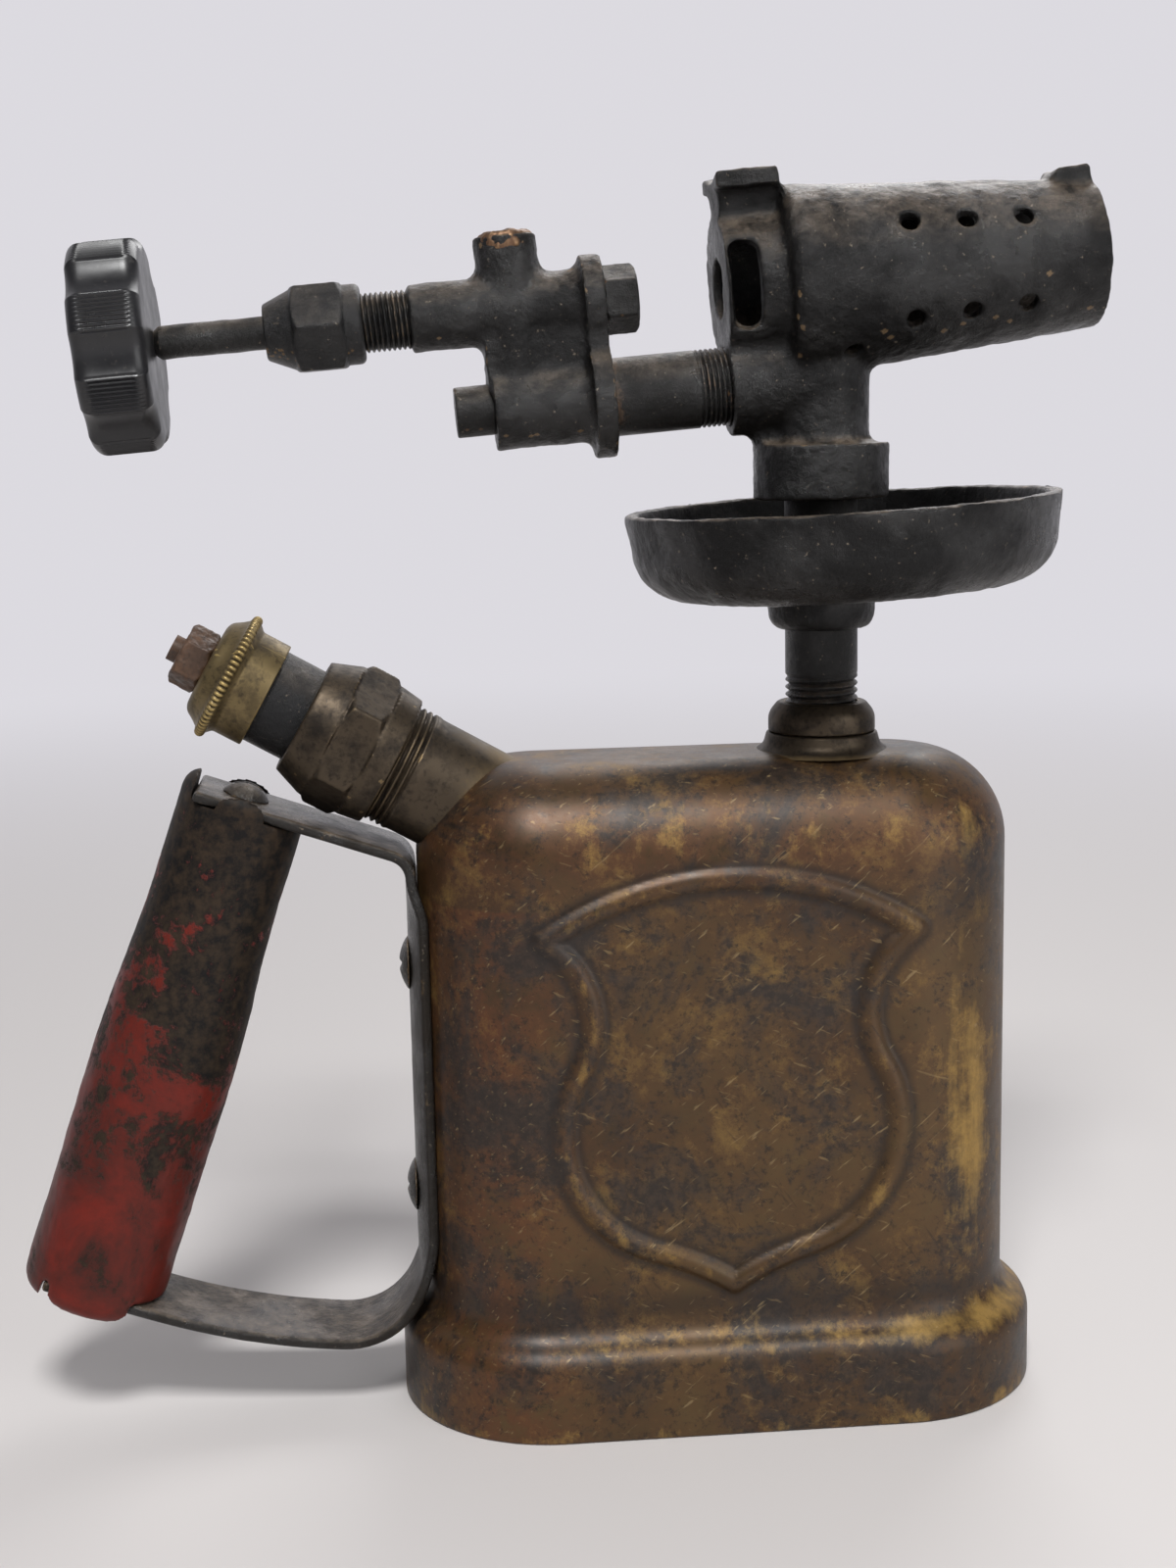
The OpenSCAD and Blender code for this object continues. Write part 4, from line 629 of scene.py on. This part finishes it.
def tank_rows():
    """Section of the tank's sheet: from the top's middle out and down, round the lip and back inside."""
    edge = (TANK_R - TOP_EDGE_R, TANK_H - TOP_EDGE_R)
    turn, bend = skirt_slope()
    slope_top = SKIRT_H + SKIRT_SLOPE_H
    inner = TANK_R - TANK_WALL
    lip = TANK_WALL / 2
    rows = [(edge[0] * i / 4, TANK_H) for i in range(4)]
    rows += arc(edge, TOP_EDGE_R, 90, 0, 18)
    rows += [(TANK_R, z) for z in np.linspace(edge[1], slope_top, 145)[1:-1]]
    rows += arc((TANK_R + bend, slope_top), bend, 180, 180 + turn, 9)
    rows += arc((SKIRT_R - bend, SKIRT_H), bend, turn, 0, 9)[1:]
    rows += [(SKIRT_R, SKIRT_H * i / 7) for i in (6, 5, 4, 3, 2, 1)]
    rows += arc((SKIRT_R - lip, lip), lip, 0, -180, 6)
    rows += [(SKIRT_R - TANK_WALL, SKIRT_H - 1), (inner, slope_top + 1), (inner, edge[1])]
    rows += arc(edge, TOP_EDGE_R - TANK_WALL, 0, 90, 5)[1:]
    return rows + [(0, TANK_H - TANK_WALL)]


def tank_columns():
    """Places round the oval: a point of the spine and the direction out from it."""
    flat = np.linspace(-TANK_HALF, TANK_HALF, 111)
    turn = [math.radians(90 - 180 * s ** 0.8) for s in np.linspace(0, 1, 81)]
    back = [(x, 0, 1) for x in flat[:-1]]
    right = [(TANK_HALF, math.cos(a), math.sin(a)) for a in turn[:-1]]
    front = [(-x, 0, -1) for x in flat[:-1]]
    left = [(-TANK_HALF, -math.cos(a), math.sin(a)) for a in reversed(turn[1:])]
    return np.array(back + right + front + left)


def tank():
    """Sheet wrapped round the oval, with the shield pressed out of its front and a hole for the pump."""
    rows = np.array(tank_rows())
    columns = tank_columns()
    bpy.ops.object.select_all(action="DESELECT")
    bpy.ops.mesh.primitive_grid_add(x_subdivisions=len(columns), y_subdivisions=len(rows) - 1, size=1)
    piece = bpy.context.object
    piece.name = "tank_body"
    count = len(piece.data.vertices)
    flat = np.zeros(count * 3)
    piece.data.vertices.foreach_get("co", flat)
    flat = flat.reshape(-1, 3)
    column = columns[np.rint((flat[:, 0] + 0.5) * len(columns)).astype(int) % len(columns)]
    at_row = np.rint((0.5 - flat[:, 1]) * (len(rows) - 1)).astype(int)
    reach, height = rows[at_row, 0], rows[at_row, 1]
    x = column[:, 0] + reach * column[:, 1]
    outer = at_row < np.argmin(rows[:, 1])
    front = outer & (column[:, 2] < 0) & (height > SHIELD_TIP_Z - 5) & (height < TANK_H - TOP_EDGE_R + 1)
    rise = np.zeros(count)
    gap = bead_distance(np.stack([x[front], height[front]], axis=1)) / BEAD_HALF_W
    rise[front] = BEAD_H * np.clip(1 - gap * gap, 0, 1) ** BEAD_POWER
    reach = reach + rise
    place = np.stack([column[:, 0] + reach * column[:, 1], reach * column[:, 2], height], axis=1) * MM
    piece.data.vertices.foreach_set("co", place.ravel())
    edit(piece)
    close_up()
    bpy.ops.object.select_all(action="DESELECT")
    bpy.ops.mesh.primitive_cylinder_add(vertices=64, radius=PUMP_HOLE_R * MM, depth=PUMP_CUT_L * MM)
    bpy.context.object.data.transform(PUMP)
    cut_away(piece, bpy.context.object)
    mark_tank(piece)
    fit(piece, "tank_shell", sharp=60)


def bump(value, middle, half):
    """Soft hump of height 1 about a middle."""
    return np.exp(-((value - middle) / half) ** 2)


def mark_tank(piece):
    """Stores the gold of wear and painted highlights, dark marks and painted shade, and coppery tone with a
    painted highlight.
    """
    co = np.zeros(len(piece.data.vertices) * 3)
    piece.data.vertices.foreach_get("co", co)
    x, y, z = co.reshape(-1, 3).T / MM
    slope = SKIRT_H + SKIRT_SLOPE_H / 2
    slope_top = slope + SKIRT_SLOPE_H / 2
    # Hands rub the skirt's slope, most towards the mouth, and the foot. The shoulder and the right end get
    # painted highlights in the same gold.
    towards_mouth = 0.35 + 0.65 / (1 + np.exp(-(x - 5) / 12))
    wear_and_painted_highlight = 0.85 * bump(z, slope, 2.6) * towards_mouth + 0.35 * bump(z, 113, 5)
    wear_and_painted_highlight += 0.8 * bump(x, 46, 8) * bump(z, 58, 34) * (y < 0) + 0.5 * bump(z, 1, 1.5)
    # Darker just above the slope and on the right shoulder. The left end is coppery in tone, and the shoulder
    # gets a painted coppery highlight.
    dark_marks_and_painted_shade = 0.5 * bump(z, slope_top + 1.5, 3) + 0.45 * bump(x, 44, 13) * bump(z, 100, 10)
    copper_tone_and_highlight = 0.9 * bump(x, -44, 12) * (z < 100) + 0.5 * bump(z, 112, 8) + 0.35
    # The bead is bright on its crest and has a painted shadow along its foot.
    front = (y < -TANK_R + 5) & (z > 20) & (z < 110)
    gap = np.full(len(x), 99.0)
    gap[front] = bead_distance(np.stack([x[front], z[front]], axis=1))
    wear_and_painted_highlight += 0.3 * bump(gap, 0, 1.2)
    dark_marks_and_painted_shade = np.maximum(dark_marks_and_painted_shade, 0.7 * bump(gap, 2.7, 0.9))
    for name, values in (("wear_and_painted_highlight", wear_and_painted_highlight), ("dark_marks_and_painted_shade", dark_marks_and_painted_shade), ("copper_tone_and_highlight", copper_tone_and_highlight)):
        stored = piece.data.attributes.new(name, "FLOAT", "POINT")
        stored.data.foreach_set("value", values.astype(np.float32))


# Outlet, riser and tray

def outlet():
    """Flange soldered on the tank under the riser."""
    foot, top = TANK_H - 1, COLLAR_Z - 0.15
    outline = [(RISER_R, foot), (OUTLET_R + 2.5, TANK_H - 0.6), (OUTLET_R + 0.3, TANK_H + 0.7, 1),
               (OUTLET_R - 0.4, top, 0.5), (RISER_R, top), (RISER_R, foot)]
    fit(turned("outlet_flange", rounded(outline)), "outlet_boss", place=RISER)


def collar():
    """Round collar screwed down on the riser's thread."""
    outline = [(RISER_R, COLLAR_Z), (COLLAR_R, COLLAR_Z, 0.4), (COLLAR_R, COLLAR_TOP - 2.2, 1.5),
               (COLLAR_R - 1.8, COLLAR_TOP, 0.5), (RISER_R, COLLAR_TOP), (RISER_R, COLLAR_Z)]
    fit(turned("riser_locking_collar", rounded(outline)), "riser_collar", place=RISER)


def riser():
    """Pipe from the tank to the burner, threaded at its foot."""
    thread_top = COLLAR_TOP + RISER_THREAD_H
    outline = [(0, COLLAR_Z)] + thread_rows(RISER_R, COLLAR_Z, thread_top, RISER_PITCH)
    outline += [(RISER_R, z) for z in range(141, RISER_TOP + 1, 2)] + [(0, RISER_TOP)]
    piece = turned("riser_tube", outline)
    cut_thread(piece, RISER_R, 0.75, RISER_PITCH, COLLAR_Z, thread_top)
    fit(piece, "riser_pipe", place=RISER)


def tray():
    """Cast priming tray with lumpy walls."""
    piece = copy_node("priming_tray", "priming_bowl")
    cast(piece, grain=0.6, fillet=1.6, smooth=6)
    roughen(piece, size=5, depth=0.5)
    roughen(piece, size=1.6, depth=0.22)
    fit(piece, "priming_tray", sharp=60)


# Burner and valve

def burner():
    """Cast burner, whose two rests on top are worn rounder than the barrel."""
    piece = copy_node("burner_casting", "burner_head")
    cast(piece, grain=0.5, fillet=1.1, smooth=4)
    rests = piece.vertex_groups.new(name="rests")
    to_head = HEAD.inverted()
    for vertex in piece.data.vertices:
        x, y, z = to_head @ vertex.co / MM
        if z > (FRONT_REST_Z if x > REST_SPLIT_X else REAR_REST_Z):
            rests.add([vertex.index], 1, "REPLACE")
    modify(piece, "DISPLACE", strength=0.15 * MM, mid_level=0, vertex_group="rests")
    modify(piece, "SMOOTH", factor=0.5, iterations=34, vertex_group="rests")
    roughen(piece, size=5, depth=0.5)
    roughen(piece, size=1.5, depth=0.24)
    fit(piece, "burner_casting", sharp=60)


def vapour_pipe():
    """Pipe from the burner to the valve block, threaded into the burner."""
    low, high = PIPE_THREAD
    outline = [(0, low)] + thread_rows(PIPE_R, low, high, FINE_PITCH)
    outline += [(PIPE_R, z) for z in range(7, 21, 2)] + [(PIPE_R, FLANGE_AT), (0, FLANGE_AT)]
    piece = turned("vapour_tube", outline)
    cut_thread(piece, PIPE_R, 0.5, FINE_PITCH, low, high)
    fit(piece, "vapor_pipe", place=PIPE)


def block():
    """Valve casting, cut off where its threaded nose begins."""
    piece = copy_node("valve_block", "valve_body")
    edit(piece)
    bpy.ops.mesh.bisect(plane_co=VALVE @ Vector((0, 0, (NOSE_AT + 0.3) * MM)), plane_no=VALVE.col[2][:3],
                        use_fill=True, clear_outer=True)
    close_up()
    cast(piece, grain=0.36, fillet=1.5, smooth=6, swell=0.1)
    roughen(piece, size=4, depth=0.45)
    roughen(piece, size=1.4, depth=0.22)
    fit(piece, "valve_block", sharp=60)


def top_plug():
    """Broken brass plug: a lumpy head that has torn the near rim of the boss."""
    foot = BOSS_TOP - 3.2
    outline = [(0, foot), (4.9, foot), (5.35, BOSS_TOP - 1.2, 1), (4.7, BOSS_TOP + 0.7, 0.8),
               (2.5, BOSS_TOP + 0.8), (0, BOSS_TOP + 0.9)]
    piece = turned("top_plug", rounded(outline))
    cast(piece, grain=0.25, smooth=1)
    roughen(piece, size=2.5, depth=1.1)
    nearer = Matrix.Translation((0, -0.5 * MM, 0))
    fit(piece, "block_plug_top", place=VALVE @ slanted(0, BOSS_AT, 90) @ nearer, sharp=60)


def nose():
    """Fine thread of the block's nose, which the gland nut screws on to."""
    bore, low, high = STEM_R + 0.3, NOSE_AT - 1, GLAND_AT + 3
    outline = [(bore, low)] + thread_rows(NOSE_R, low, high, FINE_PITCH) + [(bore, high), (bore, low)]
    piece = turned("valve_nose", outline)
    cut_thread(piece, NOSE_R, 0.55, FINE_PITCH, low, high)
    fit(piece, "valve_block", place=VALVE)


def nut_like(node, name, grain, smooth, lumps=0.06, finish=None):
    """Worn copy of a small fitting, its edges rounded by use."""
    piece = copy_node(node, name)
    cast(piece, grain, smooth=smooth, swell=0.12)
    roughen(piece, size=2, depth=lumps)
    fit(piece, node, sharp=50, finish=finish)


def stem():
    """Round stem with a needle point, stepped where the knob sits."""
    step = STEM_R - 0.8
    outline = [(0, STEM_TIP), (0.4, STEM_TIP), (1.4, 37.5), (STEM_R, 40.5)]
    outline += [(STEM_R, z) for z in range(42, KNOB_AT)]
    outline += [(step, KNOB_AT), (step, STEM_END), (0, STEM_END)]
    piece = turned("needle_stem", outline, 48)
    roughen(piece, size=3, depth=0.25)
    fit(piece, "valve_stem", place=VALVE)


def knob():
    """Lobed hand wheel: a turned disc with eight lobes, each ribbed across its rim."""
    low, high = KNOB_AT + 0.05, KNOB_AT + KNOB_T
    shoulder, rim_from, recess_r, recess_z = KNOB_R - KNOB_EDGE, 13, 12, high - 3.3
    rim = [(KNOB_R, z) for z in np.linspace(low + KNOB_EDGE, high - KNOB_EDGE, 15)]
    outline = [(KNOB_BORE, low), (9, low), (shoulder - 3, low)]
    outline += arc((shoulder, low + KNOB_EDGE), KNOB_EDGE, -90, -10, 6) + rim
    outline += arc((shoulder, high - KNOB_EDGE), KNOB_EDGE, 10, 90, 6)
    outline += [(14.2, high), (12.4, high - 0.5), (recess_r, high - 1.4), (recess_r, recess_z),
                (KNOB_BORE, recess_z), (KNOB_BORE, low)]
    piece = turned("hand_knob", outline, 96 * KNOB_LOBES)
    half_lobe = 180 / KNOB_LOBES
    ribbed_turn, ribbed_half_w = 11.5, 4.9
    flute_at = KNOB_R + FLUTE_R - FLUTE_DEPTH
    for vertex in piece.data.vertices:
        x, y, z = vertex.co / MM
        reach = math.hypot(x, y)
        if reach < rim_from:
            continue
        angle = math.degrees(math.atan2(y, x)) - KNOB_PHASE
        off = angle % (2 * half_lobe) - half_lobe
        across = flute_at * math.sin(math.radians(off))
        limit = KNOB_R
        if abs(across) < FLUTE_R:
            hollow = flute_at * math.cos(math.radians(off)) - math.sqrt(FLUTE_R ** 2 - across ** 2)
            limit = min(KNOB_R, hollow)
        from_lobe = half_lobe - abs(off)
        on_lobe = min(1, max(0, (ribbed_turn - from_lobe) / 1.5))
        mid = min(1, max(0, (ribbed_half_w - abs(z - (low + high) / 2)) / 0.8))
        rib = 0.5 - 0.5 * math.cos(math.tau * from_lobe / RIB_TURN)
        shift = (limit - KNOB_R) - RIB_DEPTH * on_lobe * mid * rib
        share = min(1, (reach - rim_from) / 3)
        vertex.co.xy *= (reach + shift * share) / reach
    fit(piece, "control_knob", place=VALVE, sharp=35)


# Pump

def pump_socket():
    """Slanted neck of the pump, threaded for the union nut."""
    crest = SOCKET_R + 0.25
    outline = [(SOCKET_BORE, SOCKET_FOOT), (SOCKET_R, SOCKET_FOOT), (SOCKET_R, -1.5), (SOCKET_R + 0.05, -0.6)]
    outline += thread_rows(crest, 0, SOCKET_THREAD_TOP, PUMP_PITCH)
    outline += [(SOCKET_BORE, SOCKET_THREAD_TOP), (SOCKET_BORE, SOCKET_FOOT)]
    piece = turned("pump_neck", outline, 128)
    cut_thread(piece, crest, 0.65, PUMP_PITCH, 0, SOCKET_THREAD_TOP)
    fit(piece, "pump_socket", place=PUMP)


def pump_guide():
    """Dark tube that the plunger's cap slides over."""
    outline = [(GUIDE_BORE, GUIDE_FOOT), (GUIDE_R, GUIDE_FOOT)] + [(GUIDE_R, z) for z in (22, 26, 30)]
    outline += [(GUIDE_R, GUIDE_TOP, 0.4), (GUIDE_BORE, GUIDE_TOP), (GUIDE_BORE, GUIDE_FOOT)]
    fit(turned("pump_guide_tube", rounded(outline)), "pump_guide", place=PUMP)


def plunger_cap():
    """Turned cap whose flange is rolled with a row of fine beads."""
    inner, floor, flange, crown, top = 9.55, 36.8, 37.4, 39.4, 42.8
    bead_from, bead_depth = 11.4, 0.5
    roll = arc((11.5, (flange + crown) / 2), 1, -90, 90, 8)
    outline = [(inner, CAP_AT), (CAP_R, CAP_AT, 0.4), (CAP_R, flange - 1, 0.4), (11.3, flange, 0.3)] + roll
    outline += [(11, crown + 0.2), (10.2, crown + 1.2, 0.6), (9.2, top - 0.6, 0.8), (8, top, 0.6)]
    outline += [(CAP_BORE, top), (CAP_BORE, floor), (inner, floor), (inner, CAP_AT)]
    piece = turned("plunger_head", rounded(outline), 420)
    for vertex in piece.data.vertices:
        x, y, z = vertex.co / MM
        reach = math.hypot(x, y)
        if reach > bead_from and flange <= z <= crown:
            ripple = abs(math.sin(CAP_BEADS / 2 * math.atan2(y, x)))
            dip = bead_depth * (1 - ripple) * min(1, (reach - bead_from) / 0.4)
            vertex.co.xy *= (reach - dip) / reach
    fit(piece, "plunger_cap", place=PUMP)


# Handle

def ease(t):
    """Soft step from 0 to 1."""
    c = min(1, max(0, t))
    return c * c * (3 - 2 * c)


def along(start, way, distance):
    """Point at a distance from another, in a direction."""
    return (start[0] + distance * way[0], start[1] + distance * way[1])


def between(p, q, count):
    """Points after p on the straight line to q."""
    return [(p[0] + (q[0] - p[0]) * i / count, p[1] + (q[1] - p[1]) * i / count) for i in range(1, count + 1)]


def bent(start, from_turn, to_turn, radius, count):
    """Points after the first on an arc that leaves start at one heading and ends at another."""
    side = math.copysign(1, to_turn - from_turn)
    first = math.radians(from_turn)
    points = []
    for i in range(1, count + 1):
        a = math.radians(from_turn + (to_turn - from_turn) * i / count)
        points.append((start[0] + side * radius * (math.sin(a) - math.sin(first)),
                       start[1] + side * radius * (math.cos(first) - math.cos(a))))
    return points


def strap_path():
    """Middle line of the strap in X and Z, from its lower end up, and the two heights of its upright run."""
    lean, low_slope = math.radians(GRIP_LEAN), math.radians(STRAP_LOW_SLOPE)
    up = (math.sin(lean), math.cos(lean))
    on = (up[1], -up[0])
    pin = along(GRIP_FOOT, up, STRAP_LOW_IN)
    arm = along(GRIP_FOOT, up, GRIP_LEN - STRAP_TOP_IN)
    first = along(pin, on, -STRAP_END)
    start = along(pin, on, STRAP_STRAIGHT)
    sag_r = STRAP_X - STRAP_LOW_R * (1 + math.sin(low_slope)) - start[0]
    sag_r /= up[0] - math.sin(low_slope)
    sag = bent(start, -GRIP_LEAN, -STRAP_LOW_SLOPE, sag_r, 14)
    bend = bent(sag[-1], -STRAP_LOW_SLOPE, 90, STRAP_LOW_R, 16)
    top_x = STRAP_X - STRAP_TOP_R * (1 - up[0])
    top_z = arm[1] - (top_x - arm[0]) * up[0] / up[1] - STRAP_TOP_R * up[1]
    low_z = bend[-1][1]
    run = between((STRAP_X, low_z), (STRAP_X, top_z), 40)
    turn = bent(run[-1], 90, 180 - GRIP_LEAN, STRAP_TOP_R, 10)
    ends = [first] + between(first, start, 6)
    arms = between(turn[-1], along(arm, on, -STRAP_END), 10)
    return ends + sag + bend + run + turn + arms, low_z, top_z


def strap():
    """Steel strap: a strip laid along the path, bowed to the tank's round end, then given its thickness."""
    path, low_z, top_z = strap_path()
    bpy.ops.object.select_all(action="DESELECT")
    bpy.ops.mesh.primitive_grid_add(x_subdivisions=14, y_subdivisions=len(path) - 1, size=1)
    piece = bpy.context.object
    piece.name = "bent_strap"
    for vertex in piece.data.vertices:
        x, z = path[round((vertex.co.y + 0.5) * (len(path) - 1))]
        y = vertex.co.x * (STRAP_W - 0.6)
        bow = ease((z - low_z) / 12 + 0.5) * ease((top_z - z) / 9) * ease((x - STRAP_X) / STRAP_LOW_R + 1)
        dip = TANK_R - math.sqrt(TANK_R ** 2 - y * y)
        vertex.co = Vector((x + bow * dip, y, z)) * MM
    modify(piece, "SOLIDIFY", thickness=STRAP_T * MM, offset=0)
    modify(piece, "BEVEL", width=0.7 * MM, segments=3, limit_method="ANGLE", angle_limit=math.radians(50))
    edit(piece)
    close_up()
    roughen(piece, size=4, depth=0.12)
    fit(piece, "handle_strap", sharp=50)


def grip_radius(share):
    """Radius of the grip at a share of its length: thick below, thinner above."""
    return (GRIP_LOW_D + (GRIP_TOP_D - GRIP_LOW_D) * ease((share - 0.45) / 0.38)) / 2


def grip():
    """Turned wooden grip with a flat notch at each end for the strap."""
    rows, low_edge, top_edge = 60, 3.3, 3.6
    side = [(grip_radius(i / rows), GRIP_LEN * i / rows) for i in range(3, rows - 2)]
    outline = [(r, 0) for r in (0, 3, 6, 9)] + arc((10.2, low_edge), low_edge, -90, 0, 6) + side
    outline += arc((8.3, GRIP_LEN - top_edge), top_edge, 0, 90, 7) + [(r, GRIP_LEN) for r in (6, 3, 0)]
    piece = turned("wooden_grip", outline, 128)
    for low, high in ((GRIP_LEN - 4.8, GRIP_LEN + 1), (-1, 4.6)):
        bpy.ops.object.select_all(action="DESELECT")
        bpy.ops.mesh.primitive_cube_add(size=MM, location=(7.2 * MM, 0, (low + high) / 2 * MM))
        notch = bpy.context.object
        notch.scale = (33, STRAP_W + 0.6, high - low)
        bpy.ops.object.transform_apply(scale=True)
        cut_away(piece, notch)
    cast(piece, grain=0.5, smooth=2)
    roughen(piece, size=14, depth=0.5)
    roughen(piece, size=3, depth=0.2)
    fit(piece, "handle_grip", place=GRIP, sharp=60)


tank()
outlet()
collar()
riser()
tray()
burner()
vapour_pipe()
block()
nose()
nut_like("block_plug_lower", "lower_plug", grain=0.25, smooth=4)
top_plug()
nut_like("jet", "gas_jet", grain=0.22, smooth=3)
nut_like("packing_nut", "gland_nut", grain=0.24, smooth=3, finish="guide_black")
stem()
knob()
nut_like("knob_washer", "hand_knob_washer", grain=0.15, smooth=2)
nut_like("knob_nut", "hand_knob_nut", grain=0.18, smooth=2)
pump_socket()
nut_like("pump_cap_nut", "union_nut", grain=0.3, smooth=3)
pump_guide()
plunger_cap()
nut_like("plunger_nut", "plunger_lock_nut", grain=0.2, smooth=4, lumps=0.5)
strap()
nut_like("strap_screws", "strap_round_heads", grain=0.14, smooth=3)
grip()
nut_like("grip_bolt", "grip_round_head", grain=0.2, smooth=3)
nut_like("grip_nut", "grip_lock_nut", grain=0.18, smooth=2)

for name, node in NODES.items():
    if not node.hide_render:
        node.data.materials.clear()
        node.data.materials.append(FINISHES[SLOTS[name]])


# Studio

PALE = "#e9e7ed"
BACKDROP = 0.88
ROOM = 0.3
DIM_FRONT = 0.16
# Name, place in metres, size and power of each lamp.
LAMPS = [
    ("key", (-0.12, -0.75, 1.15), 0.3, 15.5),
    ("fill", (0.7, -0.8, 0.4), 0.8, 4.5),
    ("rim", (0.3, 0.9, 0.9), 0.6, 4),
]
LAMP_AIM = (-0.02, 0, 0.12)
CAMERA_AT = (-0.0585, -0.4028, 0.1885)
CAMERA_TURN, CAMERA_DOWN, CAMERA_ROLL = -4.96, 9.7, -1.21
FOCAL_PIXELS, PICTURE_PIXELS = 2200, 1600


def ray_kinds(tree):
    """Tells rays straight from the camera, and rays that a piece mirrors or lets through."""
    ray = add_node(tree, "LightPath").outputs
    mirrored = add_node(tree, "Math", {0: ray["Is Glossy Ray"], 1: ray["Is Transmission Ray"]},
                        operation="MAXIMUM")
    return ray["Is Camera Ray"], mirrored


def studio():
    """Pale floor that fades into a pale backdrop, a dimmer room in front, and three soft lamps."""
    bpy.ops.object.select_all(action="DESELECT")
    bpy.ops.mesh.primitive_plane_add(size=8, location=(0, 0, 0))
    floor = bpy.context.object
    floor.name = "studio_floor"
    material, tree, shader, coords = new_finish("pale_floor")
    set_inputs(tree, shader, {"Base Color": linear("#cfcbc9"), "Roughness": 0.6})
    direct, mirrored = ray_kinds(tree)
    seen = add_node(tree, "Math", {0: direct, 1: mirrored}, operation="MAXIMUM")
    away = add_node(tree, "VectorMath", {0: coords}, operation="LENGTH")
    far = add_node(tree, "MapRange", {"Value": away, "From Min": 0.25, "From Max": 1.2},
                   interpolation_type="SMOOTHSTEP")
    share = add_node(tree, "Math", {0: far, 1: seen}, operation="MULTIPLY")
    glow = add_node(tree, "Emission", {"Color": linear(PALE), "Strength": BACKDROP})
    faded = add_node(tree, "MixShader", {0: share, 1: shader, 2: glow})
    set_inputs(tree, tree.nodes["Material Output"], {"Surface": faded})
    floor.data.materials.append(material)

    world = bpy.data.worlds.new("studio")
    bpy.context.scene.world = world
    world.use_nodes = True
    tree = world.node_tree
    direct, mirrored = ray_kinds(tree)
    way = add_node(tree, "SeparateXYZ", {"Vector": add_node(tree, "TexCoord").outputs["Generated"]})
    room = add_node(tree, "MapRange", {"Value": way.outputs["Y"], "From Min": 0.15, "From Max": 0.7,
                                       "To Min": DIM_FRONT, "To Max": BACKDROP})
    lit = add_node(tree, "Mix", {0: mirrored, 2: ROOM, 3: room})
    strength = add_node(tree, "Mix", {0: direct, 2: lit, 3: BACKDROP})
    set_inputs(tree, tree.nodes["Background"], {"Color": linear(PALE), "Strength": strength})

    for name, place, size, power in LAMPS:
        lamp = bpy.data.lights.new(name, "AREA")
        lamp.size = size
        lamp.energy = power
        holder = bpy.data.objects.new(name, lamp)
        bpy.context.scene.collection.objects.link(holder)
        holder.location = place
        aim = Vector(LAMP_AIM) - holder.location
        holder.rotation_euler = aim.to_track_quat("-Z", "Y").to_euler()


def camera():
    """Camera at the photograph's place, with its focal length as pixels of the picture's height."""
    lens = bpy.data.cameras.new("camera")
    lens.sensor_width = 36
    lens.lens = FOCAL_PIXELS * lens.sensor_width / PICTURE_PIXELS
    lens.clip_start = 0.01
    holder = bpy.data.objects.new("camera", lens)
    bpy.context.scene.collection.objects.link(holder)
    turn = Matrix.Rotation(math.radians(CAMERA_TURN), 4, "Z")
    tip = Matrix.Rotation(math.radians(90 - CAMERA_DOWN), 4, "X")
    roll = Matrix.Rotation(math.radians(CAMERA_ROLL), 4, "Z")
    holder.matrix_world = Matrix.Translation(CAMERA_AT) @ turn @ tip @ roll
    bpy.context.scene.camera = holder


studio()
camera()
bpy.context.scene.view_settings.view_transform = "Standard"

bpy.context.view_layer.update()
